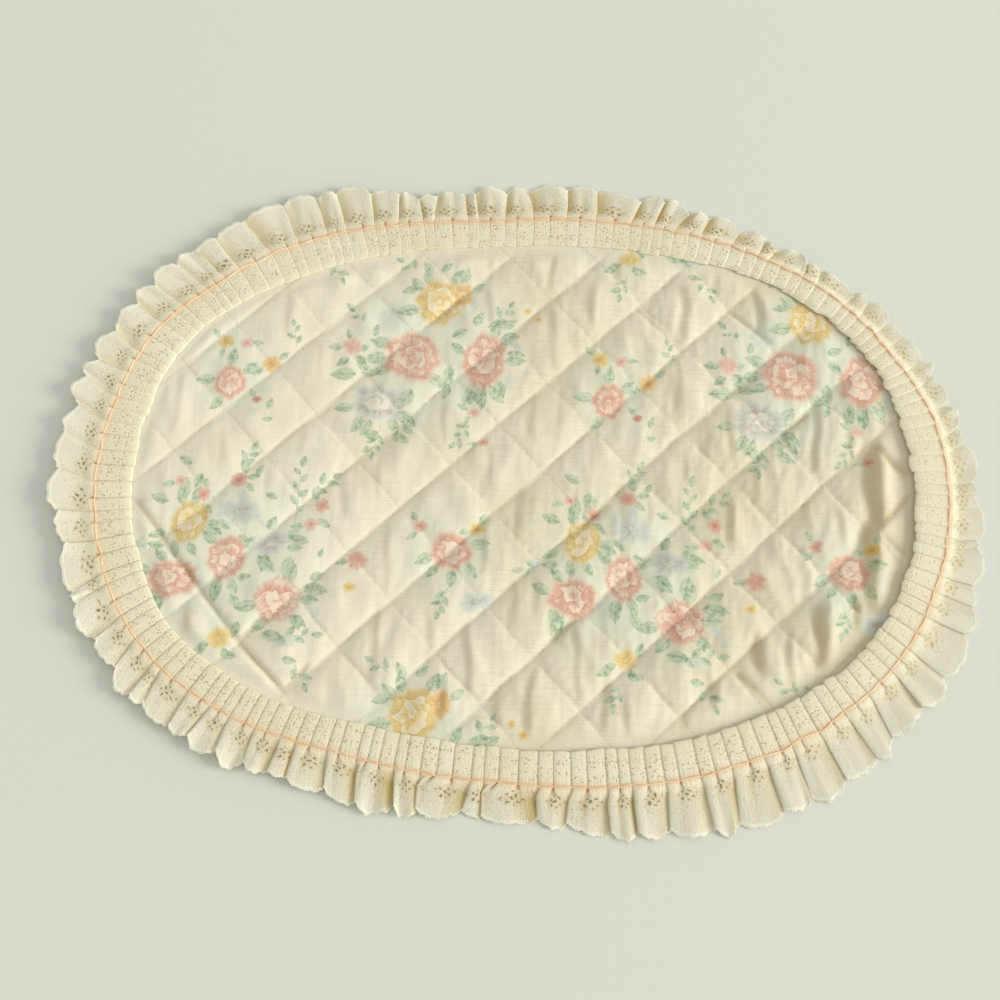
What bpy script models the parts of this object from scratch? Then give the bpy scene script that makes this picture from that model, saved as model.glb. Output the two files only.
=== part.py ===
"""A quilted oval placemat with a gathered lace edge, in metres, +Z up.

The mat is a printed cotton oval, padded with batting and quilted in diamonds. One strip of
scalloped lace is gathered round it by a peach thread: inside the thread the strip lies pleated on
the panel's rim, as a header, and outside it falls to the table in folds, as a ruffle. The origin is
under the mat's middle, on the table, with the long way of the oval along X.
"""

import math

import bmesh
import bpy
import numpy as np

MM = 0.001
GAP = 0.3 * MM

# The gathering thread's oval, |x/a|^n + |y/b|^n = 1, from which all places round the mat are taken.
# Its ruffle reaches unevenly, so the oval's middle lies a little off the middle of the whole mat.
OVAL_MIDDLE = (1.7 * MM, 0.1 * MM, 0.0)
THREAD_HALF_LENGTH = 228.5 * MM
THREAD_HALF_WIDTH = 160.5 * MM
OVAL_POWER = 2.28
FINE_STEPS = 2880

# The diamonds: the length of their two diagonals, how the pattern is turned and one of its
# crossings, so that u and v are whole numbers along the two families of sewn lines.
DIAMOND_LENGTH = 50.2 * MM
DIAMOND_WIDTH = 51.6 * MM
DIAMOND_TURN = math.radians(-1.23)
DIAMOND_CROSSING = (14.1 * MM, 108.8 * MM)
CELLS_PER_DIAMOND = 6

# The padded panel, whose edge lies just inside the thread.
PANEL_EDGE_INSET = 1.0 * MM
RIM_HEIGHT = 2.0 * MM
CHANNEL_HEIGHT = 1.9 * MM
PUFF_HEIGHT = 3.6 * MM
PUFF_FULLNESS = 0.55
PUFF_STARTS = 1.5 * MM
PUFF_FULL_AT = 12.0 * MM
VALLEY_PER_LIFT = 3.0
PUCKER_HEIGHT = 0.55 * MM
PUCKER_PITCH = 12.0 * MM
PUCKER_SEED = 7

# The lace strip: its thickness, its pleats, and how high it stands across its width.
LACE_THICKNESS = 1.1 * MM
PLEATS = 139
PLEAT_UNEVENNESS = 0.22
PLEAT_SEED = 19
FADED_CREASES = 0.55
FADED_RISE = 0.7
SCALLOP_REACH = 2.6 * MM
THREAD_DIAMETER = 1.3 * MM

# Each row is a place round the mat: its direction from the middle in degrees, how far the thread
# wanders outwards of the smooth oval, how wide the header is inside the thread, how far its inner
# edge stands up, and how far the ruffle reaches outside the thread. All but the first in mm.
EDGE_COLUMNS = ("direction", "wander", "header", "lift", "reach")
EDGE = (
    (0, 0.8, 18.4, 2.2, 19.0),
    (11, 0.8, 18.8, 1.8, 16.0),
    (22, -2.2, 11.8, 1.2, 17.0),
    (35, 1.3, 13.6, 0.6, 14.0),
    (48, 2.2, 13.4, 0.2, 15.0),
    (60, 2.5, 16.8, 0.0, 20.0),
    (78, 1.6, 17.0, 0.0, 25.0),
    (88, 0.4, 16.2, 0.0, 25.0),
    (97, -2.0, 15.6, 0.0, 22.0),
    (112, -1.4, 17.2, 0.0, 21.5),
    (125, 0.4, 19.8, 0.0, 31.0),
    (138, 0.4, 19.8, 0.0, 31.0),
    (150, -1.0, 16.4, 0.0, 26.5),
    (160, 1.0, 18.6, 0.0, 22.0),
    (170, -1.1, 18.4, 0.0, 24.0),
    (181, 0.5, 19.0, 0.0, 23.0),
    (194, -0.8, 18.6, 0.0, 20.5),
    (210, 0.8, 16.6, 0.0, 22.0),
    (225, -0.8, 16.4, 0.0, 23.0),
    (240, -3.4, 16.0, 0.0, 24.0),
    (255, -1.2, 17.4, 0.3, 22.0),
    (270, 0.6, 17.0, 0.6, 20.5),
    (284, 2.6, 18.4, 0.8, 23.5),
    (300, 3.0, 18.6, 1.0, 31.0),
    (316, 1.6, 18.6, 1.4, 32.0),
    (332, -0.8, 17.2, 1.8, 29.0),
    (346, -2.4, 16.0, 2.2, 25.0),
)

# Each row is one line of points along the strip, from the header's inner edge to the ruffle's tip:
# how far it lies across the header (-1 to 0) or the ruffle (0 to 1), the height of the pleats'
# crests there and the height of the creases between them, in mm.
LACE_ROWS = (
    (-1.0, 4.1, 3.3),
    (0.0, 4.5, 4.2),
    (0.36, 6.6, 2.6),
    (0.74, 5.6, 1.5),
    (1.0, 3.4, 1.3),
)

# The corners of one pleat: how far through the pleat they come, and how far up its crest they are.
PLEAT_CORNERS = ((0.0, 0.0), (0.3, 1.0), (0.72, 0.92))

COLOURS = {
    "quilted_panel": ("printed_cotton", (0.80, 0.76, 0.58), 0.90),
    "lace_trim": ("ivory_lace", (0.86, 0.81, 0.62), 0.85),
    "gathering_thread": ("peach_thread", (0.86, 0.50, 0.30), 0.70),
}


def clear_scene():
    for item in list(bpy.data.objects):
        bpy.data.objects.remove(item, do_unlink=True)


def edge_value(column, direction):
    """One column of the edge table at directions in degrees, running smoothly round the mat."""
    rows = np.array(EDGE)
    return np.interp(direction, rows[:, 0], rows[:, EDGE_COLUMNS.index(column)], period=360.0)


def smooth_oval():
    """The thread's smooth oval in fine steps: points, outward normals and lengths run so far."""
    turn = np.linspace(0.0, 2.0 * math.pi, FINE_STEPS + 1)
    x = THREAD_HALF_LENGTH * np.sign(np.cos(turn)) * np.abs(np.cos(turn)) ** (2.0 / OVAL_POWER)
    y = THREAD_HALF_WIDTH * np.sign(np.sin(turn)) * np.abs(np.sin(turn)) ** (2.0 / OVAL_POWER)
    slope_x = np.sign(x) * np.abs(x / THREAD_HALF_LENGTH) ** (OVAL_POWER - 1.0) / THREAD_HALF_LENGTH
    slope_y = np.sign(y) * np.abs(y / THREAD_HALF_WIDTH) ** (OVAL_POWER - 1.0) / THREAD_HALF_WIDTH
    steepness = np.hypot(slope_x, slope_y)
    run = np.concatenate(([0.0], np.cumsum(np.hypot(np.diff(x), np.diff(y)))))
    return x, y, slope_x / steepness, slope_y / steepness, run


def place_round_oval(share, outward):
    """Points a share (0 to 1) of the way round the thread and some metres outwards of it."""
    x, y, normal_x, normal_y, run = smooth_oval()
    along = np.mod(share, 1.0) * run[-1]
    base_x, base_y = np.interp(along, run, x), np.interp(along, run, y)
    direction = np.degrees(np.arctan2(base_y, base_x)) % 360.0
    reach = outward + edge_value("wander", direction) * MM
    return (base_x + reach * np.interp(along, run, normal_x),
            base_y + reach * np.interp(along, run, normal_y))


def direction_at(share):
    """The direction from the mat's middle, in degrees, a share of the way round the thread."""
    x, y, _, _, run = smooth_oval()
    along = np.mod(share, 1.0) * run[-1]
    return np.degrees(np.arctan2(np.interp(along, run, y), np.interp(along, run, x))) % 360.0


def distance_inside_thread(x, y):
    """How far points lie inside the thread's wandering line, in metres."""
    ratio_x, ratio_y = np.abs(x) / THREAD_HALF_LENGTH, np.abs(y) / THREAD_HALF_WIDTH
    gauge = np.maximum((ratio_x ** OVAL_POWER + ratio_y ** OVAL_POWER) ** (1.0 / OVAL_POWER), 1e-6)
    slope_x = (ratio_x / gauge) ** (OVAL_POWER - 1.0) / THREAD_HALF_LENGTH
    slope_y = (ratio_y / gauge) ** (OVAL_POWER - 1.0) / THREAD_HALF_WIDTH
    direction = np.degrees(np.arctan2(y, x)) % 360.0
    return (1.0 - gauge) / np.hypot(slope_x, slope_y) + edge_value("wander", direction) * MM


def smooth_step(low, high, value):
    share = np.clip((value - low) / (high - low), 0.0, 1.0)
    return share * share * (3.0 - 2.0 * share)


def diamond_axes():
    """The directions along which u and v grow by one for each sewn line."""
    along = np.array((math.cos(DIAMOND_TURN), math.sin(DIAMOND_TURN)))
    across = np.array((-math.sin(DIAMOND_TURN), math.cos(DIAMOND_TURN)))
    return (along / DIAMOND_LENGTH + across / DIAMOND_WIDTH,
            along / DIAMOND_LENGTH - across / DIAMOND_WIDTH)


def quilt_height(x, y):
    """Height of the panel's top: sewn channels, puffed and puckered diamonds, and a pressed rim."""
    from_crossing = np.stack((x - DIAMOND_CROSSING[0], y - DIAMOND_CROSSING[1]), axis=-1)
    u, v = (from_crossing @ axis for axis in diamond_axes())
    puff = np.abs(np.sin(math.pi * u) * np.sin(math.pi * v)) ** PUFF_FULLNESS
    fuller_corner = 1.0 + 0.22 * x / THREAD_HALF_LENGTH - 0.16 * y / THREAD_HALF_WIDTH

    # Each diamond has its own pucker: upright ridges, shifted and leaning a little differently.
    chance = np.random.default_rng(PUCKER_SEED).random((2, 40, 40))
    row, column = np.floor(u).astype(int) + 20, np.floor(v).astype(int) + 20
    shift, lean = chance[0, row, column], chance[1, row, column] - 0.5
    pucker = np.cos(2.0 * math.pi * ((x + 0.5 * lean * y) / PUCKER_PITCH + shift))

    # Under the header the padding is pressed flat, and it swells out past the header's inner edge.
    inside = distance_inside_thread(x, y)
    direction = np.degrees(np.arctan2(y, x)) % 360.0
    past_header = inside - edge_value("header", direction) * MM
    valley = VALLEY_PER_LIFT * edge_value("lift", direction) * MM
    free = smooth_step(PUFF_STARTS, PUFF_FULL_AT + valley, past_header)
    padded = CHANNEL_HEIGHT + puff * (PUFF_HEIGHT * fuller_corner + PUCKER_HEIGHT * pucker)
    edge = smooth_step(-0.5 * MM, 4.0 * MM, inside)
    return RIM_HEIGHT * (0.8 + 0.2 * edge) * (1.0 - free) + padded * free


def new_object(name, mesh, middle):
    """A piece with its own cloth material, placed by the empty at the oval's middle."""
    finish, colour, roughness = COLOURS[name]
    material = bpy.data.materials.new(finish)
    material.use_nodes = True
    shader = material.node_tree.nodes["Principled BSDF"]
    shader.inputs["Base Color"].default_value = (*colour, 1.0)
    shader.inputs["Roughness"].default_value = roughness
    shader.inputs["Metallic"].default_value = 0.0
    mesh.materials.append(material)
    item = bpy.data.objects.new(name, mesh)
    item.parent = middle
    middle.users_collection[0].objects.link(item)


def cut_along_lines(bm, axis):
    """Cut a flat face along every line of one family, several to a diamond."""
    reach = np.hypot(THREAD_HALF_LENGTH, THREAD_HALF_WIDTH) * np.linalg.norm(axis)
    last = math.ceil(2.0 * reach) * CELLS_PER_DIAMOND
    for step in range(-last, last + 1):
        foot = np.array(DIAMOND_CROSSING) + axis * (step / CELLS_PER_DIAMOND) / (axis @ axis)
        if abs(foot @ axis) / np.linalg.norm(axis) > THREAD_HALF_LENGTH:
            continue
        bmesh.ops.bisect_plane(bm, geom=bm.verts[:] + bm.edges[:] + bm.faces[:], dist=1e-7,
                               plane_co=(*foot, 0.0), plane_no=(*axis, 0.0))


def build_panel(middle):
    """The padded oval: a flat face cut along the quilting, raised, walled and closed below."""
    rim_points = 144
    share = np.arange(rim_points) / rim_points
    rim_x, rim_y = place_round_oval(share, -PANEL_EDGE_INSET)
    bm = bmesh.new()
    bm.faces.new([bm.verts.new((x, y, 0.0)) for x, y in zip(rim_x, rim_y)])
    for axis in diamond_axes():
        cut_along_lines(bm, axis)
    bmesh.ops.remove_doubles(bm, verts=bm.verts[:], dist=1.2 * MM)
    places = np.array([corner.co[:2] for corner in bm.verts])
    for corner, height in zip(bm.verts, quilt_height(places[:, 0], places[:, 1])):
        corner.co.z = height

    top_rim = [edge for edge in bm.edges if edge.is_boundary]
    wall = bmesh.ops.extrude_edge_only(bm, edges=top_rim)["geom"]
    for part in wall:
        if isinstance(part, bmesh.types.BMVert):
            part.co.z = 0.0
    bmesh.ops.holes_fill(bm, edges=[edge for edge in bm.edges if edge.is_boundary], sides=0)
    bmesh.ops.recalc_face_normals(bm, faces=bm.faces[:])
    mesh = bpy.data.meshes.new("quilted_panel")
    bm.to_mesh(mesh)
    bm.free()
    mesh.shade_smooth()
    mesh.set_sharp_from_angle(angle=math.radians(60.0))
    new_object("quilted_panel", mesh, middle)


def pleat_columns():
    """For each corner of each pleat: its share of the way round and its rise in header and ruffle.

    The header's pleats are all alike. In the ruffle some creases fade out, so that two pleats
    open into one broad lobe.
    """
    chance = np.random.default_rng(PLEAT_SEED)
    widths = 1.0 + PLEAT_UNEVENNESS * (2.0 * chance.random(PLEATS) - 1.0)
    starts = np.concatenate(([0.0], np.cumsum(widths))) / widths.sum()
    crests = 0.75 + 0.25 * chance.random(PLEATS)
    columns = []
    faded = True
    for pleat in range(PLEATS):
        faded = not faded and chance.random() < FADED_CREASES
        for through, rise in PLEAT_CORNERS:
            share = starts[pleat] + through * (starts[pleat + 1] - starts[pleat])
            crease = FADED_RISE if faded else 0.0
            columns.append((share, rise, rise * crests[pleat] if rise > 0.0 else crease))
    return columns


def lace_section(share, header_rise, ruffle_rise):
    """The top of the strip at one corner of a pleat, from the header's edge to the ruffle's tip."""
    direction = direction_at(share)
    header = edge_value("header", direction) * MM
    lift = edge_value("lift", direction) * MM
    reach = edge_value("reach", direction) * MM - SCALLOP_REACH * (1.0 - ruffle_rise)
    section = []
    for across, crest, crease in LACE_ROWS:
        outward = across * (header if across < 0.0 else reach)
        fold = header_rise if across <= 0.0 else ruffle_rise
        x, y = place_round_oval(share, outward)
        height = (crease + fold * (crest - crease)) * MM + max(0.0, -across) * lift
        section.append((float(x), float(y), float(height)))
    return section


def build_lace(middle):
    """The gathered strip: one closed section for each corner of each pleat, joined in a ring."""
    bm = bmesh.new()
    sections = []
    for share, header_rise, ruffle_rise in pleat_columns():
        top = lace_section(share, header_rise, ruffle_rise)
        under = [(x, y, z - LACE_THICKNESS) for x, y, z in reversed(top)]
        sections.append([bm.verts.new(point) for point in top + under])
    for section, following in zip(sections, sections[1:] + sections[:1]):
        for corner, after in zip(range(len(section)), list(range(1, len(section))) + [0]):
            bm.faces.new((section[corner], section[after], following[after], following[corner]))
    bmesh.ops.recalc_face_normals(bm, faces=bm.faces[:])
    mesh = bpy.data.meshes.new("lace_trim")
    bm.to_mesh(mesh)
    bm.free()
    mesh.shade_smooth()
    mesh.set_sharp_from_angle(angle=math.radians(50.0))
    new_object("lace_trim", mesh, middle)


def build_thread(middle):
    """The gathering thread: a closed line of round section, lying on the pleats' crests."""
    count = 120
    thread_row = [row for row in LACE_ROWS if row[0] == 0.0][0]
    height = thread_row[1] * MM + GAP + THREAD_DIAMETER / 2.0
    x, y = place_round_oval(np.arange(count) / count, 0.0)
    curve = bpy.data.curves.new("gathering_thread", "CURVE")
    curve.dimensions = "3D"
    curve.bevel_depth = THREAD_DIAMETER / 2.0
    curve.bevel_resolution = 1
    line = curve.splines.new("POLY")
    line.points.add(count - 1)
    for point, place_x, place_y in zip(line.points, x, y):
        point.co = (place_x, place_y, height, 1.0)
    line.use_cyclic_u = True
    new_object("gathering_thread", curve, middle)


def main():
    clear_scene()
    collection = bpy.data.collections.new("placemat")
    bpy.context.scene.collection.children.link(collection)
    middle = bpy.data.objects.new("oval_middle", None)
    middle.location = OVAL_MIDDLE
    collection.objects.link(middle)
    build_panel(middle)
    build_lace(middle)
    build_thread(middle)


main()
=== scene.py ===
"""The looks of a quilted oval placemat: printed cotton, eyelet lace and the thread that gathers it.

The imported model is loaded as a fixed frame. Three made pieces take the place of its plain solids: a
padded panel, printed with small bouquets and sewn in diamonds, a scalloped strip of lace, folded as
it is gathered, and the two plies of the peach thread. Small stitches and picots are repeated along
them. All places are in metres, in the frame's own axes, with the table at a height of zero.
"""

from __future__ import annotations

import logging
import math
from dataclasses import dataclass, replace
from enum import Enum
from typing import Any, Iterable, Sequence, Union

import bmesh
import bpy
import numpy as np
from mathutils import Matrix, Vector


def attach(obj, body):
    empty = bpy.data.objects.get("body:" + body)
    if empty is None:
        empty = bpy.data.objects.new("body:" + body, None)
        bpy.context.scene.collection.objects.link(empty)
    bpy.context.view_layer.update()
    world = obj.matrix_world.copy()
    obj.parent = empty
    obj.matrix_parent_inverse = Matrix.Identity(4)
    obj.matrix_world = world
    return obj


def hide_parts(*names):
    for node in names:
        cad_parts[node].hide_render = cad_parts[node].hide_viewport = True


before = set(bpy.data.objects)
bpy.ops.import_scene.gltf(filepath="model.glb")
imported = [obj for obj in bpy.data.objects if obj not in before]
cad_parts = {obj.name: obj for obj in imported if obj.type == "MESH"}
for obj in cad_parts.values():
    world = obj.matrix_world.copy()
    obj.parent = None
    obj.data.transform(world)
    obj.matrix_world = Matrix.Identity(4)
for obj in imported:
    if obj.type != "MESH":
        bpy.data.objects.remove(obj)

LOG = logging.getLogger("placemat")
MM = 0.001
BODY = "root"

Array = np.ndarray
Colour = tuple[float, float, float]


def paint(red: int, green: int, blue: int) -> Colour:
    """Turn a colour as a screen shows it, 0 to 255, into the linear one that shaders take.

    Args:
        red: Its red.
        green: Its green.
        blue: Its blue.

    Returns:
        The linear colour.
    """
    def linear(level: int) -> float:
        """One level, made linear."""
        share = level / 255.0
        return share / 12.92 if share <= 0.04045 else ((share + 0.055) / 1.055) ** 2.4
    return linear(red), linear(green), linear(blue)


def smooth_step(low: float, high: float, value: Array) -> Array:
    """Rise smoothly from 0 at low to 1 at high."""
    share = np.clip((value - low) / (high - low), 0.0, 1.0)
    return share * share * (3.0 - 2.0 * share)


def between(value: Array, low: float, high: float, outside: float, inside: float) -> Array:
    """Rise smoothly from 0 outside of two ends to 1 inside of them."""
    return smooth_step(low - outside, low + inside, value) * smooth_step(
        high + outside, high - inside, value)


def turned(x: Array, y: Array, turn: float) -> tuple[Array, Array]:
    """Measure places along and across a way that is turned from +X, in radians."""
    return x * math.cos(turn) + y * math.sin(turn), y * math.cos(turn) - x * math.sin(turn)


def ripple(x: Array, y: Array, pitch: float, seed: int, waves: int = 9) -> Array:
    """Sum some seeded waves into smooth unevenness.

    Args:
        x: Places along one way, in metres.
        y: Places along the other way, in metres.
        pitch: The usual distance from crest to crest, in metres.
        seed: Picks the waves' headings and phases.
        waves: How many waves are added.

    Returns:
        Heights that mostly lie between -1 and 1.
    """
    chance = np.random.default_rng(seed)
    total = np.zeros_like(x)
    for heading, stretch, phase in chance.random((waves, 3)):
        turn, length = 2.0 * math.pi * heading, pitch * (0.7 + 0.8 * stretch)
        run = turned(x, y, turn)[0] / length
        total += np.sin(2.0 * math.pi * (run + phase))
    return total / math.sqrt(waves)


def read(items: Any, field: str, size: int = 1, kind: type = float) -> Array:
    """Read one field of all of a mesh's points, faces or corners.

    Args:
        items: The mesh's points, faces or corners.
        field: The field's name.
        size: How many numbers each item holds.
        kind: The numbers' type.

    Returns:
        The numbers, with a row for each item where size is over 1.
    """
    values = np.empty(len(items) * size, dtype=kind)
    items.foreach_get(field, values)
    return values.reshape(-1, size) if size > 1 else values


def keep(mesh: bpy.types.Mesh, name: str, values: Array) -> None:
    """Keep one value for each point of a mesh as an attribute."""
    kept = mesh.attributes.new(name=name, type="FLOAT", domain="POINT")
    kept.data.foreach_set("value", values.astype(np.float32).ravel())


def add_object(name: str, data: bpy.types.ID) -> bpy.types.Object:
    """Put a mesh, a light or a camera in the scene.

    Args:
        name: The object's name.
        data: What the object shows.

    Returns:
        The object.
    """
    added = bpy.data.objects.new(name, data)
    bpy.context.scene.collection.objects.link(added)
    return added


# SHARED LAYOUT


EDGE_COLUMNS = ("direction", "wander", "header", "lift", "reach")
EDGE = (
    (0, 0.8, 18.4, 2.2, 19.0), (11, 0.8, 18.8, 1.8, 16.0), (22, -2.2, 11.8, 1.2, 17.0),
    (35, 1.3, 13.6, 0.6, 14.0), (48, 2.2, 13.4, 0.2, 15.0), (60, 2.5, 16.8, 0.0, 20.0),
    (78, 1.6, 17.0, 0.0, 25.0), (88, 0.4, 16.2, 0.0, 25.0), (97, -2.0, 15.6, 0.0, 22.0),
    (112, -1.4, 17.2, 0.0, 21.5), (125, 0.4, 19.8, 0.0, 31.0), (138, 0.4, 19.8, 0.0, 31.0),
    (150, -1.0, 16.4, 0.0, 26.5), (160, 1.0, 18.6, 0.0, 22.0), (170, -1.1, 18.4, 0.0, 24.0),
    (181, 0.5, 19.0, 0.0, 23.0), (194, -0.8, 18.6, 0.0, 20.5), (210, 0.8, 16.6, 0.0, 22.0),
    (225, -0.8, 16.4, 0.0, 23.0), (240, -3.4, 16.0, 0.0, 24.0), (255, -1.2, 17.4, 0.3, 22.0),
    (270, 0.6, 17.0, 0.6, 20.5), (284, 2.6, 18.4, 0.8, 23.5), (300, 3.0, 18.6, 1.0, 31.0),
    (316, 1.6, 18.6, 1.4, 32.0), (332, -0.8, 17.2, 1.8, 29.0), (346, -2.4, 16.0, 2.2, 25.0),
)


@dataclass(frozen=True)
class Oval:
    """The gathering thread's oval, from which all places round the mat are measured.

    EDGE holds, for directions in degrees, how far the thread wanders outwards, how wide the header
    is, how far its inner edge stands up, and how far the ruffle reaches, all in millimetres.
    """

    half_length: float = 228.5 * MM
    half_width: float = 160.5 * MM
    power: float = 2.28
    middle: tuple[float, float] = (1.7 * MM, 0.1 * MM)
    steps: int = 2880

    def edge(self, column: str, direction: Array) -> Array:
        """Read one column of EDGE at directions in degrees."""
        rows = np.array(EDGE)
        return np.interp(direction, rows[:, 0], rows[:, EDGE_COLUMNS.index(column)], period=360.0)

    def slope(self, x: Array, y: Array) -> tuple[Array, Array]:
        """How fast the oval's gauge grows along x and y, the same all along one direction.

        Args:
            x: Places along the oval, from its middle.
            y: Places across it.

        Returns:
            The gauge's growth along x and along y.
        """
        ratio_x, ratio_y = np.abs(x) / self.half_length, np.abs(y) / self.half_width
        gauge = np.maximum((ratio_x ** self.power + ratio_y ** self.power) ** (1.0 / self.power), 1e-6)
        slope_x = np.sign(x) * (ratio_x / gauge) ** (self.power - 1.0) / self.half_length
        slope_y = np.sign(y) * (ratio_y / gauge) ** (self.power - 1.0) / self.half_width
        return slope_x, slope_y

    def line(self) -> tuple[Array, Array, Array]:
        """The smooth oval in fine steps.

        Returns:
            Its x and y, and the length run so far.
        """
        turn = np.linspace(0.0, 2.0 * math.pi, self.steps + 1)
        cosine, sine = np.cos(turn), np.sin(turn)
        x = self.half_length * np.sign(cosine) * np.abs(cosine) ** (2.0 / self.power)
        y = self.half_width * np.sign(sine) * np.abs(sine) ** (2.0 / self.power)
        run = np.concatenate(([0.0], np.cumsum(np.hypot(np.diff(x), np.diff(y)))))
        return x, y, run

    def base(self, share: Array) -> tuple[Array, Array]:
        """Points on the smooth oval, a share (0 to 1) of the way round it.

        Args:
            share: How far round the oval, from 0 to 1.

        Returns:
            The points' x and y.
        """
        x, y, run = self.line()
        along = np.mod(share, 1.0) * run[-1]
        return np.interp(along, run, x), np.interp(along, run, y)

    def direction(self, share: Array) -> Array:
        """The direction from the middle, in degrees, a share of the way round."""
        x, y = self.base(share)
        return np.degrees(np.arctan2(y, x)) % 360.0

    def place(self, share: Array, outward: Array) -> tuple[Array, Array]:
        """Find points round the mat.

        Args:
            share: How far round the thread, from 0 to 1.
            outward: How far outwards of the thread, in metres.

        Returns:
            The x and y of the points, in the frame.
        """
        x, y = self.base(share)
        slope_x, slope_y = self.slope(x, y)
        steepness = np.hypot(slope_x, slope_y)
        reach = outward + self.edge("wander", np.degrees(np.arctan2(y, x)) % 360.0) * MM
        return (x + reach * slope_x / steepness + self.middle[0],
                y + reach * slope_y / steepness + self.middle[1])

    def inside(self, x: Array, y: Array) -> tuple[Array, Array]:
        """Measure points from the thread.

        Args:
            x: Places along the mat, in the frame.
            y: Places across the mat, in the frame.

        Returns:
            How far inside the thread they lie, and their direction in degrees.
        """
        x, y = x - self.middle[0], y - self.middle[1]
        slope_x, slope_y = self.slope(x, y)
        gauge = slope_x * x + slope_y * y
        direction = np.degrees(np.arctan2(y, x)) % 360.0
        depth = (1.0 - gauge) / np.maximum(np.hypot(slope_x, slope_y), 1e-6)
        return depth + self.edge("wander", direction) * MM, direction


@dataclass(frozen=True)
class Diamonds:
    """The two families of quilting lines, at whole numbers of u and v."""

    length: float = 50.2 * MM
    width: float = 51.6 * MM
    turn: float = math.radians(-1.23)
    crossing: tuple[float, float] = (15.8 * MM, 108.9 * MM)

    def steps(self) -> tuple[Array, Array]:
        """The way from one crossing to the next along each family of lines.

        Returns:
            The step of u and the step of v.
        """
        along = np.array((math.cos(self.turn), math.sin(self.turn))) * self.length / 2.0
        across = np.array((-math.sin(self.turn), math.cos(self.turn))) * self.width / 2.0
        return along + across, along - across

    def place(self, u: Array, v: Array) -> tuple[Array, Array]:
        """Turn u and v into x and y."""
        step_u, step_v = self.steps()
        return (self.crossing[0] + u * step_u[0] + v * step_v[0],
                self.crossing[1] + u * step_u[1] + v * step_v[1])

    def measure(self, x: Array, y: Array) -> tuple[Array, Array]:
        """Turn x and y into u and v.

        Args:
            x: Places along the mat.
            y: Places across the mat.

        Returns:
            The places' u and v.
        """
        along, across = turned(x - self.crossing[0], y - self.crossing[1], self.turn)
        along, across = along / self.length, across / self.width
        return along + across, along - across


OVAL = Oval()
DIAMONDS = Diamonds()


# NODE TREES


class Wire:
    """What a node gives on its way to the next, so that the signs of arithmetic add further nodes."""

    def __init__(self, graph: Graph, socket: bpy.types.NodeSocket) -> None:
        """Take the graph that it runs in and the socket that it leaves."""
        self.graph, self.socket = graph, socket
        self.is_vector = socket.type in ("VECTOR", "RGBA")

    def work(self, operation: str, first: Put, second: Put) -> Wire:
        """Work two values out together, as vectors or as numbers."""
        add_node = self.graph.vector if self.is_vector else self.graph.math
        return add_node(operation, first, second)

    def __add__(self, other: Put) -> Wire:
        """Add another value."""
        return self.work("ADD", self, other)

    def __sub__(self, other: Put) -> Wire:
        """Take another value away."""
        return self.work("SUBTRACT", self, other)

    def __rsub__(self, other: Put) -> Wire:
        """Take this value away from a number."""
        return self.work("SUBTRACT", other, self)

    def __mul__(self, other: Put) -> Wire:
        """Multiply by a value of the same kind, or scale a vector by a number."""
        if self.is_vector and isinstance(other, float):
            return self.graph.vector("SCALE", self, None, None, other)
        return self.work("MULTIPLY", self, other)

    def __pow__(self, power: float) -> Wire:
        """Raise to a power."""
        return self.work("POWER", self, power)

    def __abs__(self) -> Wire:
        """Leave out the sign."""
        return self.graph.math("ABSOLUTE", self)


Put = Union[Wire, float, int, Sequence[float], str, Any]


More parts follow.
